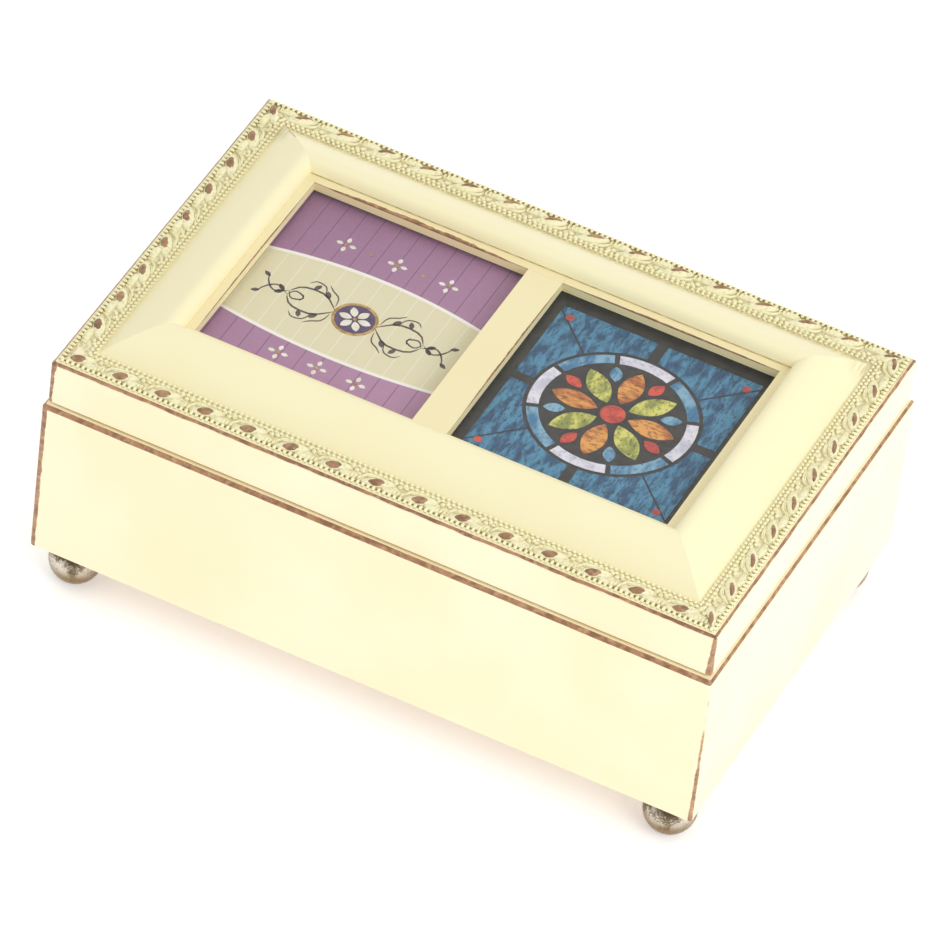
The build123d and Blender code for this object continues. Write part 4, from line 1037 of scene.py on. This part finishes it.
# %% Velvet linings
velvet = finish("ivory_velvet", speckled(blots(18.0, 0.25, 0.75, 1.0, (1.6, 1, 1)), "#F6EEDC", "#EADFC6",
                                         blots(0.35, 0.35, 0.7, 4.0), 0.22, "#CDBC98"),
                0.9, blots(0.35, detail=4.0), 0.06, Sheen_Weight=0.6, Sheen_Roughness=0.4)
LEFT, RIGHT, FRONT, BACK = -4.0, 67.6, -40.2, 40.2
LOW, FLOOR, TOP, PARTITION_TOP = 15.8, 17.8, 50.3, 48.8
LINED_X, LINED_Y, LINED_LOW, LINED_TOP = 66.55, 39.15, 59.2, 60.4
THICK, PLAY = 1.2, 0.05

floor_pad = wadded("velvet_tray_floor", (LEFT + PLAY, FRONT + PLAY, LOW),
                   (RIGHT - PLAY, BACK - PLAY, FLOOR), (0, 0, 1), edge=0.9, crown=0.5)
sides = {
    "front": ((LEFT + THICK, FRONT, FLOOR), (RIGHT - THICK, FRONT + THICK, TOP), (0, 1, 0)),
    "back": ((LEFT + THICK, BACK - THICK, FLOOR), (RIGHT - THICK, BACK, TOP), (0, -1, 0)),
    "left": ((LEFT, FRONT, FLOOR), (LEFT + THICK, BACK, PARTITION_TOP), (1, 0, 0)),
    "right": ((RIGHT - THICK, FRONT, FLOOR), (RIGHT, BACK, TOP), (-1, 0, 0)),
}
linings = [wadded(f"velvet_tray_{side}", *space, edge=0.45, crown=0.25) for side, space in sides.items()]
ceiling = wadded("velvet_lid_lining", (-LINED_X, -LINED_Y, LINED_LOW), (LINED_X, LINED_Y, LINED_TOP),
                 (0, 0, -1), edge=0.5, crown=0.3)
for piece, body, nodes in ((floor_pad, "case", ["tray_floor_pad"]), (ceiling, "lid", ["lid_lining"]),
                           *[(lining, "case", ["tray_linings"]) for lining in linings]):
    fit(piece, velvet, "lining", body)
    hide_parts(*nodes)
print("velvet boards:", len(linings) + 2)

# %% [markdown]
# Two small squares of wool felt on the front corners of the case keep the lid's paint from sticking.
# Felt is a matted fibre with no weave, so it is mottled, very rough and round at its cut edges.

# %% Felt pads on the rim
felt = finish("wool_felt", (MIX, blots(1.6, 0.3, 0.7, 4.0), "#F0E9D8", "#E6DDC8"), 0.95,
              blots(0.3, detail=4.0), 0.006)
PAD_X, PAD_Y, PAD_HALF = 72.35, -44.95, 2.5
for name, sx in (("left", -1), ("right", 1)):
    pad = wadded(f"felt_pad_{name}", (sx * PAD_X - PAD_HALF, PAD_Y - PAD_HALF, RIM),
                 (sx * PAD_X + PAD_HALF, PAD_Y + PAD_HALF, LID_LOW - 0.01), (0, 0, 1), 0.12, 0.03, cell=1.0)
    fit(pad, felt, "felt", "case")
    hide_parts("lid_pads")

# %% [markdown]
# The bottom, the partition, the cleats and the backing are bare fibreboard: pale brown, with short
# fibres pressed flat and a skin that is a little darker where the press was hot.

# %% Bare fibreboard
fibres = speckled(blots(12.0, 0.3, 0.7), "#CCAC84", "#BC9B73",
                  blots(0.35, 0.5, 0.66, 4.0, (4, 1, 1)), 0.5, "#9C7A55")
fibreboard = finish("bare_fibreboard", fibres, 0.8, blots(0.3, stretch=(4, 1, 1)), 0.03)
dress(fibreboard, "fibreboard", "backing_board", "bottom_panel", "cover_cleats", "partition")

# %% [markdown]
# Metals differ less in colour than in how they were worked. A turned part has rings round its axis,
# a ground comb has scratches along its teeth, a pressed hinge is nearly plain, and a casting has
# the fine pebbled skin of its mould. One function takes two close tones and the way the marks run.

# %% Worked metals
def metal(name, light, dark, roughness, mark, way, depth):
    """Metal in two close tones, with tool marks so many millimetres apart that run a given way."""
    return finish(name, (MIX, blots(5.0, 0.3, 0.7, 3.0), light, dark),
                  (MAP, blots(mark, 0.3, 0.7, 3.0, way), 0.0, 1.0, *roughness),
                  blots(mark, detail=3.0, stretch=way), depth, Metallic=1.0)


METALS = {
    "hinge_brass": metal("pressed_brass", "#EBCB84", "#DDB96C", (0.3, 0.42), 0.8, (1, 1, 1), 0.003),
    "key_brass": metal("polished_brass", "#EACA7C", "#DCB562", (0.16, 0.26), 0.7, (1, 1, 1), 0.002),
    "gilt_casting": metal("gilt_zinc_casting", "#D3B06A", "#B08C4A", (0.34, 0.5), 0.6, (1, 1, 1), 0.05),
    "movement_brass": metal("turned_brass", "#E0BD70", "#C7A153", (0.16, 0.32), 0.22, (1, 60, 60), 0.012),
    "plated_steel": metal("nickel_plated_steel", "#D2D0CB", "#A9A6A0", (0.16, 0.3), 0.5, (1, 1, 1), 0.006),
    "spring_steel": metal("ground_spring_steel", "#B4B7BC", "#8E9298", (0.2, 0.36), 0.2, (1, 40, 1), 0.01),
}
nylon = finish("moulded_nylon", (MIX, blots(6.0, 0.3, 0.7), "#EDEBE2", "#DDD9CB"),
               (MAP, blots(0.6), 0.0, 1.0, 0.4, 0.55), blots(0.6), 0.008,
               Subsurface_Weight=0.15, Subsurface_Scale=0.002)
for subpart in frame["record"]["subparts"]:
    slot = subpart["material_slot"]
    if slot in METALS or slot == "white_nylon":
        dress(METALS.get(slot, nylon), slot, subpart["node"])
print("metals:", len(METALS))

# %% [markdown]
# Screws hold the hinges, the comb and the movement, and the cylinder has far more pins than a light
# solid model can carry. Both are one shape set many times at points that each have a direction, so
# a second small tree does it: the direction is an attribute that each point brings along.

# %% A tree that sets a pattern at points
at_points = open_tree("pattern_at_points", Geometry="Geometry", Pattern="Object", Size="Vector",
                      Seed="Int", Finish="Material")
tree, given, _ = at_points
way = add(tree, "GeometryNodeInputNamedAttribute", "way", data_type="FLOAT_VECTOR")
stood = add(tree, "FunctionNodeAlignRotationToVector", axis="Z", Vector=way)
spin = add(tree, "FunctionNodeRandomValue", data_type="FLOAT", Min=0.0, Max=6.28, Seed=given["Seed"])
turned = add(tree, "FunctionNodeRotateRotation", stood,
             ("FunctionNodeAxisAngleToRotation", (0, 0, 1), spin), rotation_space="LOCAL")
dots = add(tree, "GeometryNodeMeshToPoints", given["Geometry"])
close_tree(tree, given, dots, turned, given["Size"])


def points_mesh(places):
    """Points of the drawing with the ways they face, as a mesh of loose points."""
    mesh = bpy.data.meshes.new("points")
    mesh.from_pydata([tuple(at(*point)) for point, _ in places], [], [])
    note(mesh, "way", [way for _, way in places], "FLOAT_VECTOR")
    return mesh


# %% A slotted screw head, 1 mm in radius
SCREW_HEAD = [(0, -0.3), (0.7, -0.3), (1.0, 0.0), (1.0, 0.1), (0.85, 0.24), (0.5, 0.33), (0, 0.35)]


def pattern_from(profile, sides):
    """A turned pattern about the origin, in units of 1 mm, kept out of the scene."""
    return new_piece("pattern", *lathe(profile, (0.0, CENTRE_SHIFT), sides), 30, shown=False)


def slotted(head, half_width, depth, top):
    """Cuts a straight slot across a head by taking away a thin bar."""
    shape = bmesh.new()
    bmesh.ops.create_cube(shape, size=1.0)
    bmesh.ops.scale(shape, verts=shape.verts, vec=(3 * MM, 2 * half_width * MM, 2 * depth * MM))
    bmesh.ops.translate(shape, verts=shape.verts, vec=(0, 0, top * MM))
    bar = place("slot_bar", stored(shape, bpy.data.meshes.new("slot_bar")))
    scene.collection.objects.link(head)
    cut = head.modifiers.new("slot", "BOOLEAN")
    cut.object = bar
    plain(head)
    bpy.data.objects.remove(bar)
    scene.collection.objects.unlink(head)
    return head


screw = slotted(pattern_from(SCREW_HEAD, 24), half_width=0.14, depth=0.2, top=0.36)
print("faces in a screw head:", len(screw.data.polygons))

# %% Screws
HINGE_X, HINGE_ROW, HINGE_STEP, BEDPLATE = 44.0, 46.4, 5.6, 22.0
UP, DOWN = (0, 0, 1), (0, 0, -1)
hinge_points = [(sx * HINGE_X + step, HINGE_ROW) for sx in (-1, 1) for step in (-HINGE_STEP, HINGE_STEP)]
comb_points = [(x, -16.2) for x in (-35.4, -28.4, -21.4)]
bottom_points = [(-61.9, -16.0), (-61.9, 16.5), (-15.4, -16.0),
                 *[(x, y) for x in (-50.0, 0.0, 50.0) for y in (-41.5, 41.5)]]
SCREWS = {
    # body, slot, radius, height, places on the drawing, their height and the way that they face
    "hinge_screws_case": ("case", "hinge_brass", 1.15, 0.45, hinge_points, RIM, UP),
    "hinge_screws_lid": ("lid", "hinge_brass", 1.15, 0.45, hinge_points, LID_LOW, DOWN),
    "comb_screws": ("case", "spring_steel", 1.25, 1.6, comb_points, 31.25, UP),
    "bearing_screws": ("case", "plated_steel", 1.0, 1.3, [(-37.7, y) for y in (-2.6, 7.6)], BEDPLATE, UP),
    "frame_screws": ("case", "plated_steel", 1.0, 1.3, [(-15.2, y) for y in (0.7, 17.6)], BEDPLATE, UP),
    "bottom_screws": ("case", "plated_steel", 1.9, 1.5, bottom_points, CASE_LOW, DOWN),
}
for name, (body, slot, radius, height, points, z, way) in SCREWS.items():
    screws = run_tree(name, points_mesh([((*point, z), way) for point in points]), at_points, Pattern=screw,
                      Size=(radius, radius, height), Seed=11, Finish=METALS[slot])
    fit(screws, None, slot, body)
print("screws:", sum(len(value[4]) for value in SCREWS.values()))

# %% [markdown]
# The pins of the cylinder stand where each note of a tune falls. A note is struck every few degrees
# at most, because its tooth has to stop ringing first, so the pins of one ring keep a least distance.

# %% Pins on the cylinder
CYLINDER_AT, CYLINDER_Y, CYLINDER_Z, CYLINDER_R = (-38.9, -17.9), 2.5, 30.8, 6.5
NOTES, NOTE_PITCH, BEATS, STRUCK = 18, 1.14, 30, 7
PIN = [(0, -0.3), (0.16, -0.3), (0.16, 0.58), (0.1, 0.66), (0, 0.68)]
first_note = sum(CYLINDER_AT) / 2 - (NOTES - 1) * NOTE_PITCH / 2
tune = random.Random(5)
pins = []
for note_number in range(NOTES):
    for beat in sorted(tune.sample(range(0, BEATS, 2), STRUCK)):
        across, rise = circled(2 * math.pi * (beat + 0.5 * (note_number % 2)) / BEATS, 1.0)
        point = (first_note + note_number * NOTE_PITCH, CYLINDER_Y + CYLINDER_R * across,
                 CYLINDER_Z + CYLINDER_R * rise)
        pins.append((point, (0.0, across, rise)))
pinned = run_tree("cylinder_pins", points_mesh(pins), at_points, Pattern=pattern_from(PIN, 8),
                  Size=(1, 1, 1), Seed=2, Finish=METALS["spring_steel"])
fit(pinned, None, "movement_brass", "cylinder")
print("pins:", len(pins))

# %% [markdown]
# The spring drum is a deep-drawn steel cup. Its wall has a rolled bead above the foot and below the
# cap, which stiffens it, and these are turned here as thin rings that sit over the plain drum.

# %% Beads of the drum, and the crown wheel's cap screw
ARBOR_X, ARBOR_Y, DRUM_R, DRUM_BEAD = -53.4, 2.5, 9.0, 0.35


def hoop(name, radius, z, thick, sides=64, around=10):
    """A ring of round section about the arbor."""
    vertices = []
    for i in range(sides):
        for j in range(around):
            out, rise = circled(2 * math.pi * j / around, thick, (radius, z))
            vertices.append(at(*circled(2 * math.pi * i / sides, out, (ARBOR_X, ARBOR_Y)), rise))
    return new_piece(name, vertices, ring_faces(sides, around, closed=True), 180)


for name, z in (("drum_bead_low", 22.6), ("drum_bead_high", 31.6)):
    fit(hoop(name, DRUM_R, z, DRUM_BEAD), METALS["plated_steel"], "plated_steel", "case")
arbor_top = (ARBOR_X, ARBOR_Y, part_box("winding_arbor")[1].z / MM)
cap = run_tree("cap_screw", points_mesh([(arbor_top, UP)]), at_points, Pattern=screw, Size=(1.8, 1.8, 2.0),
               Seed=4, Finish=METALS["spring_steel"])
fit(cap, None, "spring_steel", "winding")
print("the cap screw stands at", round(arbor_top[2], 2), "mm")

# %% [markdown]
# The stop wire is one length of spring wire, bent over a round former. The solid model mitres its
# bend, so here a curve with round corners runs through the same points, and becomes a mesh.

# %% Stop wire
WIRE_X, WIRE_BEND = -13.0, 1.2


def bent_wire(name, points, radius, bend, sides=16):
    """A round wire through points, with each inner corner turned on a radius."""
    points = [Vector(point) for point in points]
    line = [points[0]]
    for before, corner, after in zip(points, points[1:], points[2:]):
        into, out = (corner - before).normalized(), (after - corner).normalized()
        line += [corner - into * bend * (1 - t) ** 2 + out * bend * t**2 for t in np.linspace(0, 1, 9)]
    line.append(points[-1])
    vertices = []
    for i, point in enumerate(line):
        way = (line[min(i + 1, len(line) - 1)] - line[max(i - 1, 0)]).normalized()
        across = Vector((1, 0, 0))
        other = way.cross(across).normalized()
        for a, b in [circled(2 * math.pi * j / sides, radius) for j in range(sides)]:
            vertices.append(at(*(point + across * a + other * b)))
    return new_piece(name, vertices, ring_faces(len(line), sides), 50)


low, high = (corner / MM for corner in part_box("stop_wire"))
wire_radius = (high.x - low.x) / 2
wire_y, toe_z = high.y + CENTRE_SHIFT - wire_radius, low.z + wire_radius
bends = [(WIRE_X, wire_y, high.z), (WIRE_X, wire_y, toe_z), (WIRE_X, low.y + CENTRE_SHIFT, toe_z)]
wire = bent_wire("bent_stop_wire", bends, wire_radius, WIRE_BEND)
fit(wire, METALS["spring_steel"], "spring_steel", "stop")
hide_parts("stop_wire")
print("wire radius", round(wire_radius, 2), "mm")
